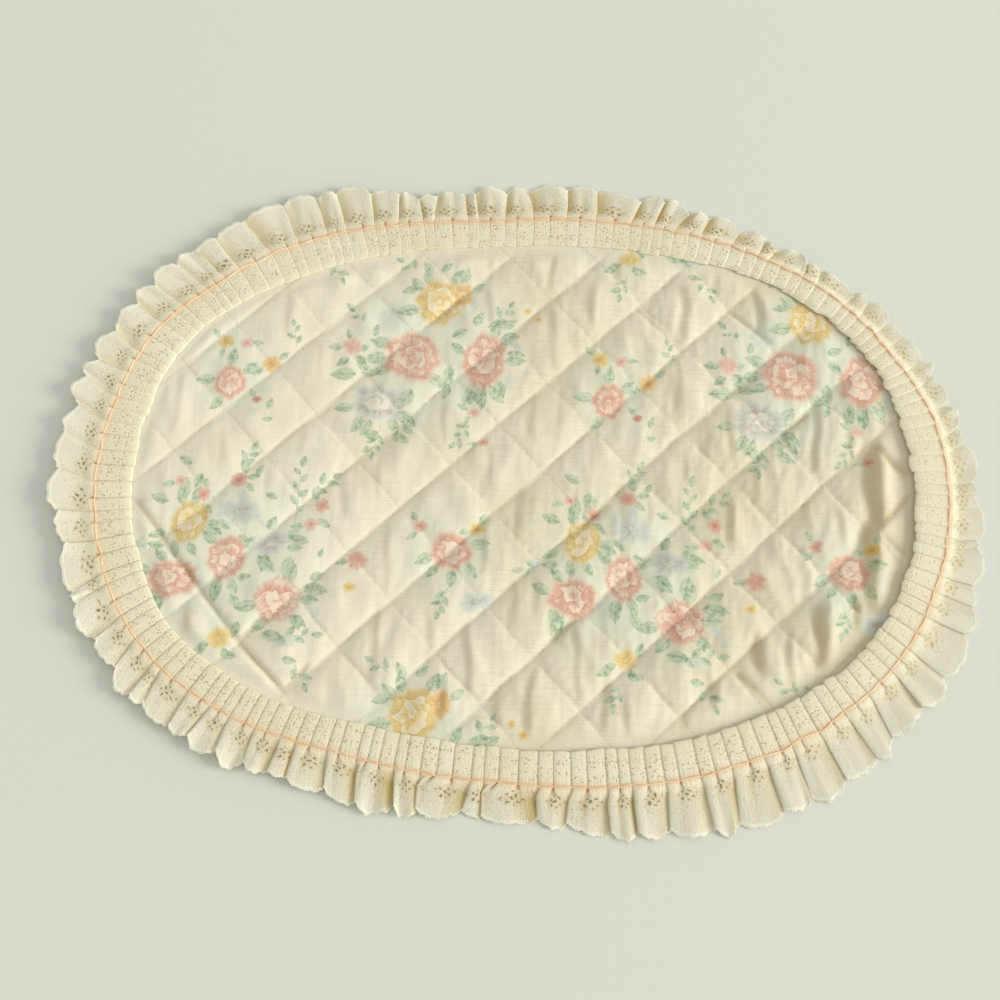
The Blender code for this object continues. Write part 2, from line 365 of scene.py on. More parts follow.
class Graph:
    """A node tree that is being wired, for a shader, a shader group or a geometry modifier."""

    def __init__(self, tree: bpy.types.NodeTree) -> None:
        """Take an empty tree."""
        self.tree = tree

    def put(self, socket: bpy.types.NodeSocket, value: Put) -> None:
        """Link a wire to an input, or set the input's own value.

        Args:
            socket: The input.
            value: A wire, a value, or None, which leaves it as it is.
        """
        if isinstance(value, Wire):
            self.tree.links.new(value.socket, socket)
        elif value is not None:
            if socket.type == "RGBA" and len(value) == 3:
                value = (*value, 1.0)
            socket.default_value = value

    def node(self, kind: str, *values: Put, named: dict[str, Put] | None = None,
             **settings: Any) -> bpy.types.Node:
        """Add a node.

        Args:
            kind: The node's type.
            values: What its first inputs take, in order, with None for an input left as it is.
            named: What further inputs take, by name.
            settings: The node's own properties.

        Returns:
            The new node.
        """
        node = self.tree.nodes.new(kind)
        for name, setting in settings.items():
            setattr(node, name, setting)
        for socket, value in zip(node.inputs, values):
            self.put(socket, value)
        for name, value in (named or {}).items():
            self.put(node.inputs[name], value)
        return node

    def wires(self, kind: str, *values: Put, **settings: Any) -> dict[str, Wire]:
        """Add a node and give all that leaves it, by name."""
        node = self.node(kind, *values, **settings)
        return {socket.name: Wire(self, socket) for socket in node.outputs}

    def wire(self, kind: str, *values: Put, **settings: Any) -> Wire:
        """Add a node and give what leaves it first."""
        return Wire(self, self.node(kind, *values, **settings).outputs[0])

    def math(self, operation: str, *values: Put) -> Wire:
        """Add a Math node and give its result."""
        return self.wire("ShaderNodeMath", *values, operation=operation)

    def vector(self, operation: str, *values: Put) -> Wire:
        """Add a Vector Math node and give its vector, or its length where that is the result."""
        results = self.wires("ShaderNodeVectorMath", *values, operation=operation)
        return results["Value" if operation in ("LENGTH", "DISTANCE", "DOT_PRODUCT") else "Vector"]

    def join(self, x: Put, y: Put, z: Put = 0.0) -> Wire:
        """Make a vector of three values."""
        return self.wire("ShaderNodeCombineXYZ", x, y, z)

    def split(self, vector: Wire) -> tuple[Wire, ...]:
        """Take a vector's three values."""
        return tuple(self.wires("ShaderNodeSeparateXYZ", vector).values())

    def step(self, value: Put, low: Put, high: Put) -> Wire:
        """Rise smoothly from 0 where value is low to 1 where it is high."""
        return self.wire("ShaderNodeMapRange", value, low, high, interpolation_type="SMOOTHSTEP")

    def blend(self, factor: Put, first: Put, second: Put, kind: str = "MIX") -> Wire:
        """Mix two colours.

        Args:
            factor: How much of the second shows.
            first: The colour below.
            second: The colour above.
            kind: How they mix.

        Returns:
            The mixed colour.
        """
        node = self.node("ShaderNodeMix", data_type="RGBA", blend_type=kind)
        for index, value in ((0, factor), (6, first), (7, second)):
            self.put(node.inputs[index], value)
        return Wire(self, node.outputs[2])

    def coat(self, cloth: Put, *coats: tuple[Wire, float, Colour]) -> Put:
        """Lay coats over a cloth's colour, each where its wire says, with its strength and colour."""
        for where, strength, colour in coats:
            cloth = self.blend(where * strength, cloth, colour)
        return cloth

    def noise(self, place: Wire, scale: float, detail: float = 2.0, rough: float = 0.5,
              result: str = "Fac") -> Wire:
        """Add a Noise texture and give its value, or its colour."""
        return self.wires("ShaderNodeTexNoise", named={
            "Vector": place, "Scale": scale, "Detail": detail, "Roughness": rough})[result]

    def drift(self, place: Wire, scale: float, amount: float, detail: float = 2.0) -> Wire:
        """Give a smooth random shift for each place, as far as amount either way."""
        colour = self.noise(place, scale, detail, result="Color")
        return (colour - (0.5, 0.5, 0.5)) * (2.0 * amount)

    def cells(self, place: Wire, scale: float, feature: str = "F1") -> dict[str, Wire]:
        """Add a flat Voronoi texture and give its results, by name."""
        return self.wires("ShaderNodeTexVoronoi", named={"Vector": place, "Scale": scale},
                          feature=feature, voronoi_dimensions="2D")

    def bump(self, height: Wire, distance: float, strength: float, normal: Put = None) -> Wire:
        """Turn a height in units of distance into a normal."""
        return self.wire("ShaderNodeBump", named={
            "Strength": strength, "Distance": distance, "Height": height, "Normal": normal})


def new_material(name: str, roughness: float,
                 sheen: float = 0.0) -> tuple[bpy.types.Material, Graph, bpy.types.Node]:
    """Make a matt cloth's material.

    Args:
        name: The material's name.
        roughness: Its roughness.
        sheen: Its sheen.

    Returns:
        The material, its graph and its shader.
    """
    material = bpy.data.materials.new(name)
    material.use_nodes = True
    shader = material.node_tree.nodes["Principled BSDF"]
    shader.inputs["Roughness"].default_value = roughness
    shader.inputs["Sheen Weight"].default_value = sheen
    return material, Graph(material.node_tree), shader


# THE PRINT


class Ink(Enum):
    """The print's colours, each as the middle tone of its petals, leaves or wash."""

    PINK = paint(222, 166, 142)
    BLUSH = paint(230, 186, 166)
    YELLOW = paint(226, 198, 108)
    AMBER = paint(228, 184, 106)
    RED = paint(208, 128, 104)
    BLUE = paint(204, 208, 200)
    SKY = paint(203, 212, 204)
    LEAF = paint(146, 178, 144)
    SAGE = paint(166, 192, 158)
    MINT = paint(223, 229, 208)


# The order in which the cloth takes them, each a UV map and a colour attribute of the panel.
PRINT_LAYERS = ("washes_wide", "washes_small", "leaves_under", "leaves_over", "blooms_under",
                "blooms_over")

# Each bloom: its middle, width and height in millimetres, its ink, how full its heart is, and the
# headings of its leaves in degrees.
BLOOMS = (
    (-48, 104, 28, 32, Ink.YELLOW, 1.0, (52, 118, 150, 196)), (-35, 110, 14, 17, Ink.AMBER, 0.5, (20,)),
    (-61, 70, 35, 34, Ink.PINK, 1.0, (152, 184, 212, 318)),
    (-21, 69, 27, 37, Ink.PINK, 1.0, (8, 40, 66, 246, 276, 318)),
    (-79, 42, 33, 25, Ink.BLUE, 0.7, (196, 236, 262, 300, 340)),
    (-95, 75, 12, 13, Ink.BLUSH, 0.4, (118, 186, 296)), (-26, 38, 8, 7, Ink.BLUSH, 0.0, (150, 230)),
    (-20, 21, 7, 6, Ink.PINK, 0.0, (196,)), (-174, -31, 22, 27, Ink.YELLOW, 1.0, (74, 128, 350)),
    (-179, -62, 30, 23, Ink.PINK, 0.9, (104, 176, 258)),
    (-152, -50, 22, 27, Ink.PINK, 1.0, (28, 146, 252, 286)),
    (-123, -72, 27, 25, Ink.PINK, 1.2, (8, 58, 196, 236, 304)),
    (-150, -6, 11, 10, Ink.PINK, 0.3, (24, 330)), (-181, -8, 7, 7, Ink.BLUSH, 0.0, (196,)),
    (-168, -15, 8, 9, Ink.PINK, 0.2, (230, 84)), (-104, -19, 9, 10, Ink.PINK, 0.2, (140,)),
    (-109, -30, 9, 9, Ink.BLUSH, 0.3, (210,)), (-83, -49, 12, 12, Ink.PINK, 0.4, (176,)),
    (-129, -41, 22, 15, Ink.BLUE, 0.5, (262, 336, 30)), (-148, -24, 25, 16, Ink.SKY, 0.4, ()),
    (-151, -93, 14, 12, Ink.YELLOW, 0.4, (214, 296)), (-86, -64, 8, 6, Ink.YELLOW, 0.1, ()),
    (-161, 51, 20, 23, Ink.PINK, 0.9, (98, 166, 252, 30)),
    (-166, 76, 11, 10, Ink.YELLOW, 0.3, (148, 262)), (-154, 75, 8, 8, Ink.BLUSH, 0.1, (20,)),
    (-139, 63, 12, 11, Ink.AMBER, 0.3, (206, 52)), (-145, 41, 6, 5, Ink.RED, 0.0, (120,)),
    (-34, -42, 24, 23, Ink.PINK, 0.9, (28, 196, 238, 272, 318)),
    (-51, -29, 9, 8, Ink.PINK, 0.2, (128, 250)), (-21, -29, 10, 8, Ink.YELLOW, 0.2, (60, 190)),
    (-20, -69, 20, 12, Ink.SKY, 0.3, ()), (2, 101, 5, 5, Ink.YELLOW, 0.0, ()),
    (7, -137, 6, 5, Ink.YELLOW, 0.0, ()),
)

# Each sprig: its root in millimetres, its heading in degrees, its length, and its leaves' number.
SPRIGS = (
    (-76, 30, 258, 17, 6), (-19, 90, 50, 16, 4), (-88, 88, 128, 12, 3), (-25, 34, 234, 17, 5),
    (-118, -34, 88, 36, 7), (-112, -12, 36, 15, 4), (-150, 0, 66, 12, 4), (-196, -44, 196, 9, 3),
    (-128, -92, 4, 24, 5), (-112, -104, 300, 12, 3), (-142, 26, 70, 10, 2), (-126, 72, 100, 14, 4),
    (-34, -60, 250, 15, 5), (-152, -104, 250, 12, 4), (-60, 124, 146, 11, 3),
)

# Each single leaf: its root in millimetres, its heading in degrees and its size.
LEAVES = (
    (-53, 122, 118, 1.0), (-48, 124, 40, 0.8), (-36, 117, 66, 0.9), (-60, 113, 196, 0.9),
    (-40, 83, 30, 0.9), (-40, 79, 320, 1.0), (-28, 90, 60, 1.1), (-20, 90, 20, 1.1), (-12, 90, 30, 0.9),
    (-11, 86, 350, 0.8), (-9, 74, 355, 1.1), (-40, 66, 262, 1.0), (-38, 60, 224, 1.1),
    (-40, 54, 250, 0.9), (-28, 52, 250, 1.1), (-22, 51, 272, 1.0), (-18, 54, 308, 1.2),
    (-60, 50, 236, 1.3), (-80, 60, 180, 0.9), (-84, 61, 150, 0.9), (-92, 59, 186, 1.3),
    (-86, 76, 204, 0.8), (-83, 82, 82, 0.8), (-88, 70, 240, 0.7), (-96, 68, 214, 0.8),
    (-68, 38, 300, 0.9), (-64, 30, 310, 0.8), (-70, 24, 330, 1.1), (-76, 22, 172, 1.1),
    (-186, -20, 160, 1.1), (-179, -18, 84, 1.1), (-169, -20, 320, 0.8), (-166, -33, 12, 1.0),
    (-186, -36, 200, 1.0), (-186, -44, 176, 0.8), (-181, -41, 280, 0.9), (-173, -42, 300, 0.8),
    (-173, -56, 300, 0.9), (-152, -35, 130, 0.8), (-147, -37, 320, 0.8), (-132, -34, 62, 0.9),
    (-121, -38, 350, 1.1), (-118, -48, 258, 1.3), (-136, -48, 316, 1.2), (-146, -61, 10, 0.8),
    (-156, -62, 268, 1.1), (-148, -69, 300, 1.0), (-111, -64, 348, 1.4), (-108, -60, 24, 0.9),
    (-114, -80, 296, 0.8), (-130, -90, 350, 1.1), (-142, -84, 250, 0.8), (-190, -68, 300, 1.2),
    (-150, -101, 350, 0.9), (-158, -99, 200, 0.8), (-118, -103, 350, 0.8), (-176, 2, 150, 0.9),
    (-170, -3, 250, 0.8), (-146, -2, 112, 0.8), (-141, -3, 60, 0.7), (-128, -16, 160, 0.8),
    (-106, -27, 330, 0.8), (-104, -48, 60, 0.6),
)

# Each wash: its middle, width and height in millimetres, its turn in degrees, its ink, and how
# strong it is. HAZES lie under whole bouquets, and RIBBONS among the blooms.
HAZES = (
    (-54, 74, 122, 128, 0, Ink.MINT, 0.9), (-152, -50, 126, 124, 0, Ink.MINT, 0.9),
    (-158, 60, 66, 74, 0, Ink.MINT, 0.75), (-36, -44, 70, 76, 0, Ink.MINT, 0.75),
)
RIBBONS = (
    (-29, 106, 7, 24, 14, Ink.SKY, 0.8), (-6, 80, 24, 6, -28, Ink.SKY, 0.8),
    (-6, 57, 9, 13, -12, Ink.SKY, 0.8), (0, 61, 12, 6, 30, Ink.SKY, 0.6),
    (-76, 93, 22, 19, 0, Ink.SKY, 0.75), (-40, 94, 7, 18, 0, Ink.SKY, 0.6),
    (-56, 30, 9, 8, 0, Ink.SKY, 0.5), (-198, -44, 9, 12, 0, Ink.SKY, 0.9),
    (-147, -15, 7, 15, 22, Ink.SKY, 0.9), (-157, -20, 5, 20, -8, Ink.SKY, 0.7),
    (-137, -28, 5, 18, 40, Ink.SKY, 0.7), (-163, -66, 6, 18, 12, Ink.SKY, 0.8),
    (-166, -84, 14, 16, 0, Ink.BLUSH, 0.35), (-102, -79, 8, 20, 40, Ink.SKY, 0.9),
    (-117, -94, 22, 9, 6, Ink.SKY, 0.8), (-200, -20, 16, 4, 10, Ink.SKY, 0.6),
    (-20, -70, 20, 12, 20, Ink.SKY, 0.7), (-16, -44, 6, 14, -30, Ink.SKY, 0.6),
    (-150, 60, 7, 20, 24, Ink.SKY, 0.6), (-146, 34, 12, 8, 0, Ink.SKY, 0.5),
)


@dataclass(frozen=True)
class Motif:
    """One printed leaf or bloom: its middle, half sizes and turn, its ink and its style."""

    x: float
    y: float
    half_length: float
    half_width: float
    turn: float
    ink: Ink
    style: float = 0.0

    def measure(self, x: Array, y: Array) -> tuple[Array, Array]:
        """Places in the motif's own axes, which run from -1 to 1 across it."""
        along, across = turned(x - self.x, y - self.y, self.turn)
        return along / self.half_length, across / self.half_width


@dataclass(frozen=True)
class FloralPrint:
    """The bouquets, which repeat across the cloth, and the six layers that they are printed in."""

    across: tuple[float, float] = (209.0 * MM, -3.5 * MM)
    down: tuple[float, float] = (-1.0 * MM, -233.0 * MM)
    leaf_length: float = 5.4 * MM
    leaf_width: float = 3.3 * MM
    stem_width: float = 0.5 * MM
    small_bloom: float = 16.0 * MM
    bloom_swell: float = 1.16
    leaf_root: float = 0.40
    seed: int = 5

    def repeats(self) -> Iterable[tuple[float, float]]:
        """Where the repeat lies again, as shifts along x and y.

        Returns:
            Each shift along x and y, in metres.
        """
        for column in (-1, 0, 1, 2):
            for row in (-1, 0, 1):
                yield (column * self.across[0] + row * self.down[0],
                       column * self.across[1] + row * self.down[1])

    def leaf(self, x: float, y: float, heading: float, size: float, ink: Ink) -> Motif:
        """A leaf that grows from a point along a heading."""
        length = self.leaf_length * size
        return Motif(x + math.cos(heading) * length, y + math.sin(heading) * length,
                     length, self.leaf_width * size, heading, ink)

    def leaves_of_blooms(self, chance: np.random.Generator) -> Iterable[Motif]:
        """The leaves that stand out from under each bloom, at the headings in its row.

        Args:
            chance: Where chance values come from.

        Returns:
            The leaves.
        """
        for x, y, width, height, _, _, headings in BLOOMS:
            for heading in headings:
                turn = math.radians(heading + chance.uniform(-9.0, 9.0))
                size = min(1.15, 0.45 + 0.024 * (width + height) / 2.0) * chance.uniform(0.85, 1.15)
                root_x = x * MM + math.cos(turn) * width * MM * self.leaf_root
                root_y = y * MM + math.sin(turn) * height * MM * self.leaf_root
                ink = Ink.LEAF if chance.random() < 0.6 else Ink.SAGE
                yield self.leaf(root_x, root_y, turn + chance.uniform(-0.4, 0.4), size, ink)

    def leaves_of_sprigs(self, chance: np.random.Generator) -> Iterable[Motif]:
        """The thin stems, and the small leaves to either side of them.

        Args:
            chance: Where chance values come from.

        Returns:
            The stems and their leaves.
        """
        for x, y, heading, length, count in SPRIGS:
            turn, reach = math.radians(heading), length * MM
            middle_x = x * MM + math.cos(turn) * reach / 2.0
            middle_y = y * MM + math.sin(turn) * reach / 2.0
            yield Motif(middle_x, middle_y, reach / 2.0, self.stem_width, turn, Ink.SAGE)
            for index in range(count):
                share = 0.3 + 0.7 * index / max(1, count - 1)
                side = 0.0 if index == count - 1 else (0.8 if index % 2 else -0.8)
                yield self.leaf(x * MM + math.cos(turn) * reach * share,
                                y * MM + math.sin(turn) * reach * share,
                                turn + side + chance.uniform(-0.2, 0.2),
                                chance.uniform(0.5, 0.7), Ink.LEAF)

    def layers(self) -> dict[str, list[Motif]]:
        """List every motif of the first repeat, by the layer that it is printed in.

        Returns:
            The motifs of each layer, by its name.
        """
        chance = np.random.default_rng(self.seed)
        sprays = list(self.leaves_of_sprigs(chance)) + list(self.leaves_of_blooms(chance))
        leaves = [self.leaf(x * MM, y * MM, math.radians(heading), size * chance.uniform(0.9, 1.1),
                            Ink.LEAF if chance.random() < 0.7 else Ink.SAGE)
                  for x, y, heading, size in LEAVES]
        blooms = [Motif(x * MM, y * MM, width * MM / 2.0 * self.bloom_swell,
                        height * MM / 2.0 * self.bloom_swell, chance.uniform(-0.3, 0.3), ink,
                        max(0.02, fullness))
                  for x, y, width, height, ink, fullness, _ in BLOOMS]
        washes = {name: [Motif(x * MM, y * MM, width * MM / 2.0, height * MM / 2.0,
                               math.radians(turn), ink, strength)
                         for x, y, width, height, turn, ink, strength in rows]
                  for name, rows in (("washes_wide", HAZES), ("washes_small", RIBBONS))}
        return washes | {
            "leaves_under": sprays,
            "leaves_over": leaves,
            "blooms_under": [bloom for bloom in blooms if bloom.half_length * 2.0 > self.small_bloom],
            "blooms_over": [bloom for bloom in blooms if bloom.half_length * 2.0 <= self.small_bloom],
        }

    def lay(self, mesh: bpy.types.Mesh) -> None:
        """Give each face, in each layer, its place in the motif that covers it, and the ink.

        Args:
            mesh: The panel's mesh. Each layer becomes a UV map, far out of range where it is bare,
                and a colour attribute whose alpha holds the motif's style.
        """
        corners = read(mesh.loops, "vertex_index", kind=np.int32)
        points = read(mesh.vertices, "co", 3)
        centres = read(mesh.polygons, "center", 3)
        totals = read(mesh.polygons, "loop_total", kind=np.int32)
        face_of_corner = np.repeat(np.arange(len(totals)), totals)
        for name, motifs in self.layers().items():
            nearest = np.full(len(centres), 1.0)
            owner = np.full(len(centres), -1)
            placed = [replace(motif, x=motif.x + shift_x, y=motif.y + shift_y)
                      for shift_x, shift_y in self.repeats() for motif in motifs]
            for index, motif in enumerate(placed):
                reach = max(motif.half_length, motif.half_width)
                near = np.nonzero((np.abs(centres[:, 0] - motif.x) < reach)
                                  & (np.abs(centres[:, 1] - motif.y) < reach))[0]
                if not len(near):
                    continue
                along, across = motif.measure(centres[near, 0], centres[near, 1])
                rank = along ** 2 + across ** 2
                taken = near[rank < nearest[near]]
                nearest[taken] = rank[rank < nearest[near]]
                owner[taken] = index
            places = np.tile((0.0, 9.0), (len(corners), 1))
            inks = np.zeros((len(corners), 4))
            owner_of_corner = owner[face_of_corner]
            for index in np.unique(owner[owner >= 0]):
                motif = placed[index]
                mine = np.nonzero(owner_of_corner == index)[0]
                at = points[corners[mine]]
                places[mine, 0], places[mine, 1] = motif.measure(at[:, 0], at[:, 1])
                inks[mine] = (*motif.ink.value, motif.style)
            layer = mesh.uv_layers.new(name=name)
            layer.uv.foreach_set("vector", places.astype(np.float32).ravel())
            tint = mesh.color_attributes.new(name=name + "_ink", type="FLOAT_COLOR", domain="CORNER")
            tint.data.foreach_set("color", inks.astype(np.float32).ravel())
            LOG.info("print layer %s: %d motifs", name, len(placed))


MOTIF_SOCKETS = (
    ("INPUT", "Place", "NodeSocketVector"), ("INPUT", "Cloth Place", "NodeSocketVector"),
    ("INPUT", "Ink", "NodeSocketColor"), ("INPUT", "Style", "NodeSocketFloat"),
    ("OUTPUT", "Colour", "NodeSocketColor"), ("OUTPUT", "Cover", "NodeSocketFloat"),
)


def new_motif_group(name: str) -> tuple[Graph, dict[str, Wire], bpy.types.Node]:
    """Start the shader group that draws one kind of motif in its own axes.

    Args:
        name: The group's name.

    Returns:
        The graph to wire, the inputs' wires and the output node.
    """
    tree = bpy.data.node_groups.new(name, "ShaderNodeTree")
    for flow, socket_name, kind in MOTIF_SOCKETS:
        tree.interface.new_socket(name=socket_name, in_out=flow, socket_type=kind)
    graph = Graph(tree)
    return graph, graph.wires("NodeGroupInput"), graph.node("NodeGroupOutput")


def wash_group() -> bpy.types.NodeTree:
    """Draw one faint wash: brushed patches of colour that fade out to the wash's edge.

    Returns:
        The group's tree.
    """
    graph, inputs, output = new_motif_group("printed_wash")
    radius = graph.vector("LENGTH", inputs["Place"] + graph.drift(inputs["Place"], 2.0, 0.22))
    brushed = graph.noise(inputs["Cloth Place"], 150.0, 3.0)
    cover = graph.step(radius, 1.0, 0.35) * graph.step(brushed, 0.2, 0.6)
    graph.put(output.inputs["Colour"], inputs["Ink"])
    graph.put(output.inputs["Cover"], cover * inputs["Style"])
    return graph.tree


def leaf_group() -> bpy.types.NodeTree:
    """Draw one leaf: an oval with a saw edge, a midrib and slanting veins, darker at its rim.

    Returns:
        The group's tree.
    """
    graph, inputs, output = new_motif_group("printed_leaf")
    x, y, _ = graph.split(inputs["Place"] + graph.drift(inputs["Place"], 2.4, 0.16, 3.0))
    side = abs(y)
    body = graph.math("MAXIMUM", 1.0 - x * x, 0.0) ** 0.8 * (0.92 - x * 0.26)
    saw = graph.math("FRACT", (x + side) * 3.6)
    margin = body - side - saw * 0.10
    vein = abs(graph.math("FRACT", (x - side * 0.7) * 3.4) - 0.5)
    brushed = graph.noise(inputs["Cloth Place"], 420.0, 3.0)
    tone = (graph.step(y, -0.2, 0.25) * 0.22 + graph.step(side, 0.10, 0.02) * 0.40
            + graph.step(vein, 0.24, 0.06) * 0.24 + graph.step(margin, 0.34, 0.04) * 0.38
            + (brushed * 2.2 - 1.0))
    pale = graph.blend(0.58, inputs["Ink"], paint(222, 230, 202))
    deep = graph.blend(1.0, inputs["Ink"], paint(186, 208, 190), "MULTIPLY")
    graph.put(output.inputs["Colour"], graph.blend(graph.step(tone, 0.05, 0.95), pale, deep))
    graph.put(output.inputs["Cover"], graph.step(margin, -0.12, 0.32))
    return graph.tree


def bloom_group() -> bpy.types.NodeTree:
    """Draw one bloom: a ring of brushed outer petals round a paler heart of a few curled ones.

    Returns:
        The group's tree.
    """
    graph, inputs, output = new_motif_group("printed_bloom")
    cloth, style = inputs["Cloth Place"], inputs["Style"]
    radius = graph.vector("LENGTH", inputs["Place"])
    heading = graph.vector("NORMALIZE", inputs["Place"])
    strokes = graph.noise(heading * 9.0 + cloth * 70.0, 1.3, 3.0, 0.6) - 0.5
    petals = graph.noise(heading * 1.5 + cloth * 14.0, 1.0, 1.0)
    outline = petals * 0.36 + 0.65
    core = style * (petals * 0.50 + 0.40)
    depth = graph.wire("ShaderNodeMapRange", radius, outline, core)
    ring = depth ** 1.3 * 0.56 + 0.20 + strokes * 1.3 + (petals - 0.5) * 0.9

    curled = cloth + graph.drift(cloth, 230.0, 3.2 * MM)
    petal = graph.cells(curled, 165.0)["Position"]
    rift = graph.cells(curled, 165.0, "DISTANCE_TO_EDGE")["Distance"]
    lie = graph.vector("DOT_PRODUCT", curled - petal, heading)
    heart = lie * -170.0 + 0.16 + strokes * 1.1 + graph.step(rift, 0.14, 0.0) * 0.44
    inner = graph.step(strokes * 0.30 + radius, core, core - 0.14)
    dot = graph.step(radius, 0.26, 0.12) * graph.step(style, 0.5, 0.35)
    tone = inner * (heart - ring) + ring + dot * 0.7
    pale = graph.blend(0.66, inputs["Ink"], paint(243, 232, 210))
    deep = graph.blend(1.0, inputs["Ink"], paint(236, 208, 200), "MULTIPLY")
    low = graph.blend(graph.step(tone, -0.05, 0.5), pale, inputs["Ink"])
    graph.put(output.inputs["Colour"], graph.blend(graph.step(tone, 0.5, 1.05), low, deep))
    cover = graph.step(strokes * 0.62 + radius, outline + 0.10, outline - 0.22)
    graph.put(output.inputs["Cover"], cover)
    return graph.tree


# FINISHES


@dataclass(frozen=True)
class PrintedCotton:
    """Cream muslin with slubs in its weave, paler to the left, with painted shade where sewn, and
    printed.
    """

    cream: Colour = paint(236, 229, 204)
    washed: Colour = paint(228, 219, 188)
    # The slubs' colour, also used for the painted shade towards the right.
    slub_and_shade: Colour = paint(206, 196, 164)
    # Colour laid over the cloth towards the left, to make it paler there.
    paler_left: Colour = paint(252, 247, 226)
    # Colour of the painted shade along the sewn lines.
    groove: Colour = paint(190, 172, 134)
    # Colour multiplied in as painted shade in the folds and grooves.
    hollow_shade_colour: Colour = paint(212, 194, 158)
    roughness: float = 0.92
    sheen: float = 0.12
    thread_pitch: float = 0.42 * MM
    slub_strength: float = 0.42
    paler_left_strength: float = 0.45
    right_shade_strength: float = 0.32
    hollow_shade_strength: float = 0.56
    weave_depth: float = 0.06 * MM
    crinkle_depth: float = 0.5 * MM
    wash_strength: float = 0.85
    leaf_strength: float = 0.80
    bloom_strength: float = 0.84
    groove_shade_lines: tuple[float, float] = (0.4, 1.0)

    def weave(self, graph: Graph, place: Wire) -> tuple[Wire, Wire]:
        """Wire the weave's height and the long thin slubs that run across the cloth.

        Args:
            graph: The material's graph.
            place: The place on the cloth.

        Returns:
            The threads' height, and the slubs.
        """
        x, y, _ = graph.split(place)
        turns = 2.0 * math.pi / self.thread_pitch
        threads = graph.math("SINE", x * turns) * graph.math("SINE", y * turns)
        return threads, graph.noise(place * (48.0, 1700.0, 48.0), 1.0, 3.0, 0.6)

    def sewn(self, graph: Graph, place: Wire) -> Wire:
        """Wire how much painted shade the cloth takes along the quilting lines.

        Args:
            graph: The material's graph.
            place: The place on the cloth.

        Returns:
            How strongly the groove's colour covers the cloth.
        """
        step_u, step_v = (np.array(step) for step in DIAMONDS.steps())
        inverse = np.linalg.inv(np.stack((step_u, step_v), axis=1))
        shifted = place - (*DIAMONDS.crossing, 0.0)
        groove_shade: Put = 0.0
        for row, share in zip(inverse, self.groove_shade_lines):
            number = graph.vector("DOT_PRODUCT", shifted, (*row.tolist(), 0.0))
            near = graph.step(graph.math("PINGPONG", number, 0.5), 0.05, 0.0)
            groove_shade = graph.math("MAXIMUM", groove_shade, near * share)
        patchy = graph.step(graph.noise(place, 30.0), 0.3, 0.7)
        return groove_shade * (patchy * 0.26 + 0.12)

    def printed(self, graph: Graph, cloth: Wire, place: Wire, slubs: Wire) -> Wire:
        """Print the six layers on the cloth, one over the other.

        Args:
            graph: The material's graph.
            cloth: The cloth's colour.
            place: The place on the cloth.
            slubs: The slubs, which take the ink unevenly.

        Returns:
            The printed cloth's colour.
        """
        groups = {"washes": (wash_group(), self.wash_strength),
                  "leaves": (leaf_group(), self.leaf_strength),
                  "blooms": (bloom_group(), self.bloom_strength)}
        grain = 1.22 - slubs * 0.55
        for layer in PRINT_LAYERS:
            tree, strength = groups[layer.split("_")[0]]
            ink = graph.wires("ShaderNodeVertexColor", layer_name=layer + "_ink")
            drawn = graph.node("ShaderNodeGroup", node_tree=tree)
            for name, value in (("Place", graph.wire("ShaderNodeUVMap", uv_map=layer)),
                                ("Cloth Place", place), ("Ink", ink["Color"]),
                                ("Style", ink["Alpha"])):
                graph.put(drawn.inputs[name], value)
            colour, cover = (Wire(graph, drawn.outputs[name]) for name in ("Colour", "Cover"))
            cloth = graph.blend(cover * (grain * strength), cloth, colour)
        return cloth

    def make(self) -> bpy.types.Material:
        """Build the material.

        Returns:
            The material.
        """
        material, graph, shader = new_material("printed_cotton", self.roughness, self.sheen)
        place = graph.wires("ShaderNodeTexCoord")["Object"]
        to_right = graph.split(place)[0]
        threads, slubs = self.weave(graph, place)
        cloth = graph.blend(graph.step(graph.noise(place, 14.0), 0.35, 0.7), self.cream, self.washed)
        cloth = graph.coat(cloth, (graph.step(slubs, 0.40, 0.75), self.slub_strength, self.slub_and_shade),
                           # Paler towards the left.
                           (graph.step(to_right, 0.04, -0.20), self.paler_left_strength, self.paler_left),
                           # Painted shade: the cloth darkens towards the right.
                           (graph.step(to_right, 0.09, 0.21), self.right_shade_strength, self.slub_and_shade))
        # Painted shade along the quilting lines, patchy.
        cloth = graph.blend(self.sewn(graph, place), cloth, self.groove)
        cloth = self.printed(graph, cloth, place, slubs)
        # Painted shade in the folds and grooves, multiplied over the print.
        hollow_shade = graph.wires("ShaderNodeAttribute", attribute_name="hollow_shade")["Fac"]
        cloth = graph.blend(hollow_shade * self.hollow_shade_strength, cloth, self.hollow_shade_colour, "MULTIPLY")
        graph.put(shader.inputs["Base Color"], cloth)
        crinkle = graph.noise(place * (260.0, 60.0, 60.0), 1.0, 3.0)
        fine = graph.bump(slubs * 2.2 + threads * 0.5, self.weave_depth, 0.6)
        graph.put(shader.inputs["Normal"], graph.bump(crinkle, self.crinkle_depth, 0.5, fine))
        return material


@dataclass(frozen=True)
class PlainCotton:
    """The unprinted cotton of the panel's underside and of its wall."""

    cream: Colour = paint(234, 226, 202)
    worn: Colour = paint(214, 204, 174)
    roughness: float = 0.9
    slub_depth: float = 0.15 * MM

    def make(self) -> bpy.types.Material:
        """Build the material.

        Returns:
            The material.
        """
        material, graph, shader = new_material("plain_cotton", self.roughness)
        place = graph.wires("ShaderNodeTexCoord")["Object"]
        slubs = graph.noise(place * (60.0, 1100.0, 60.0), 1.0, 3.0, 0.6)
        graph.put(shader.inputs["Base Color"],
                  graph.blend(graph.step(slubs, 0.35, 0.75), self.cream, self.worn))
        graph.put(shader.inputs["Normal"], graph.bump(slubs, self.slub_depth, 0.5))
        return material


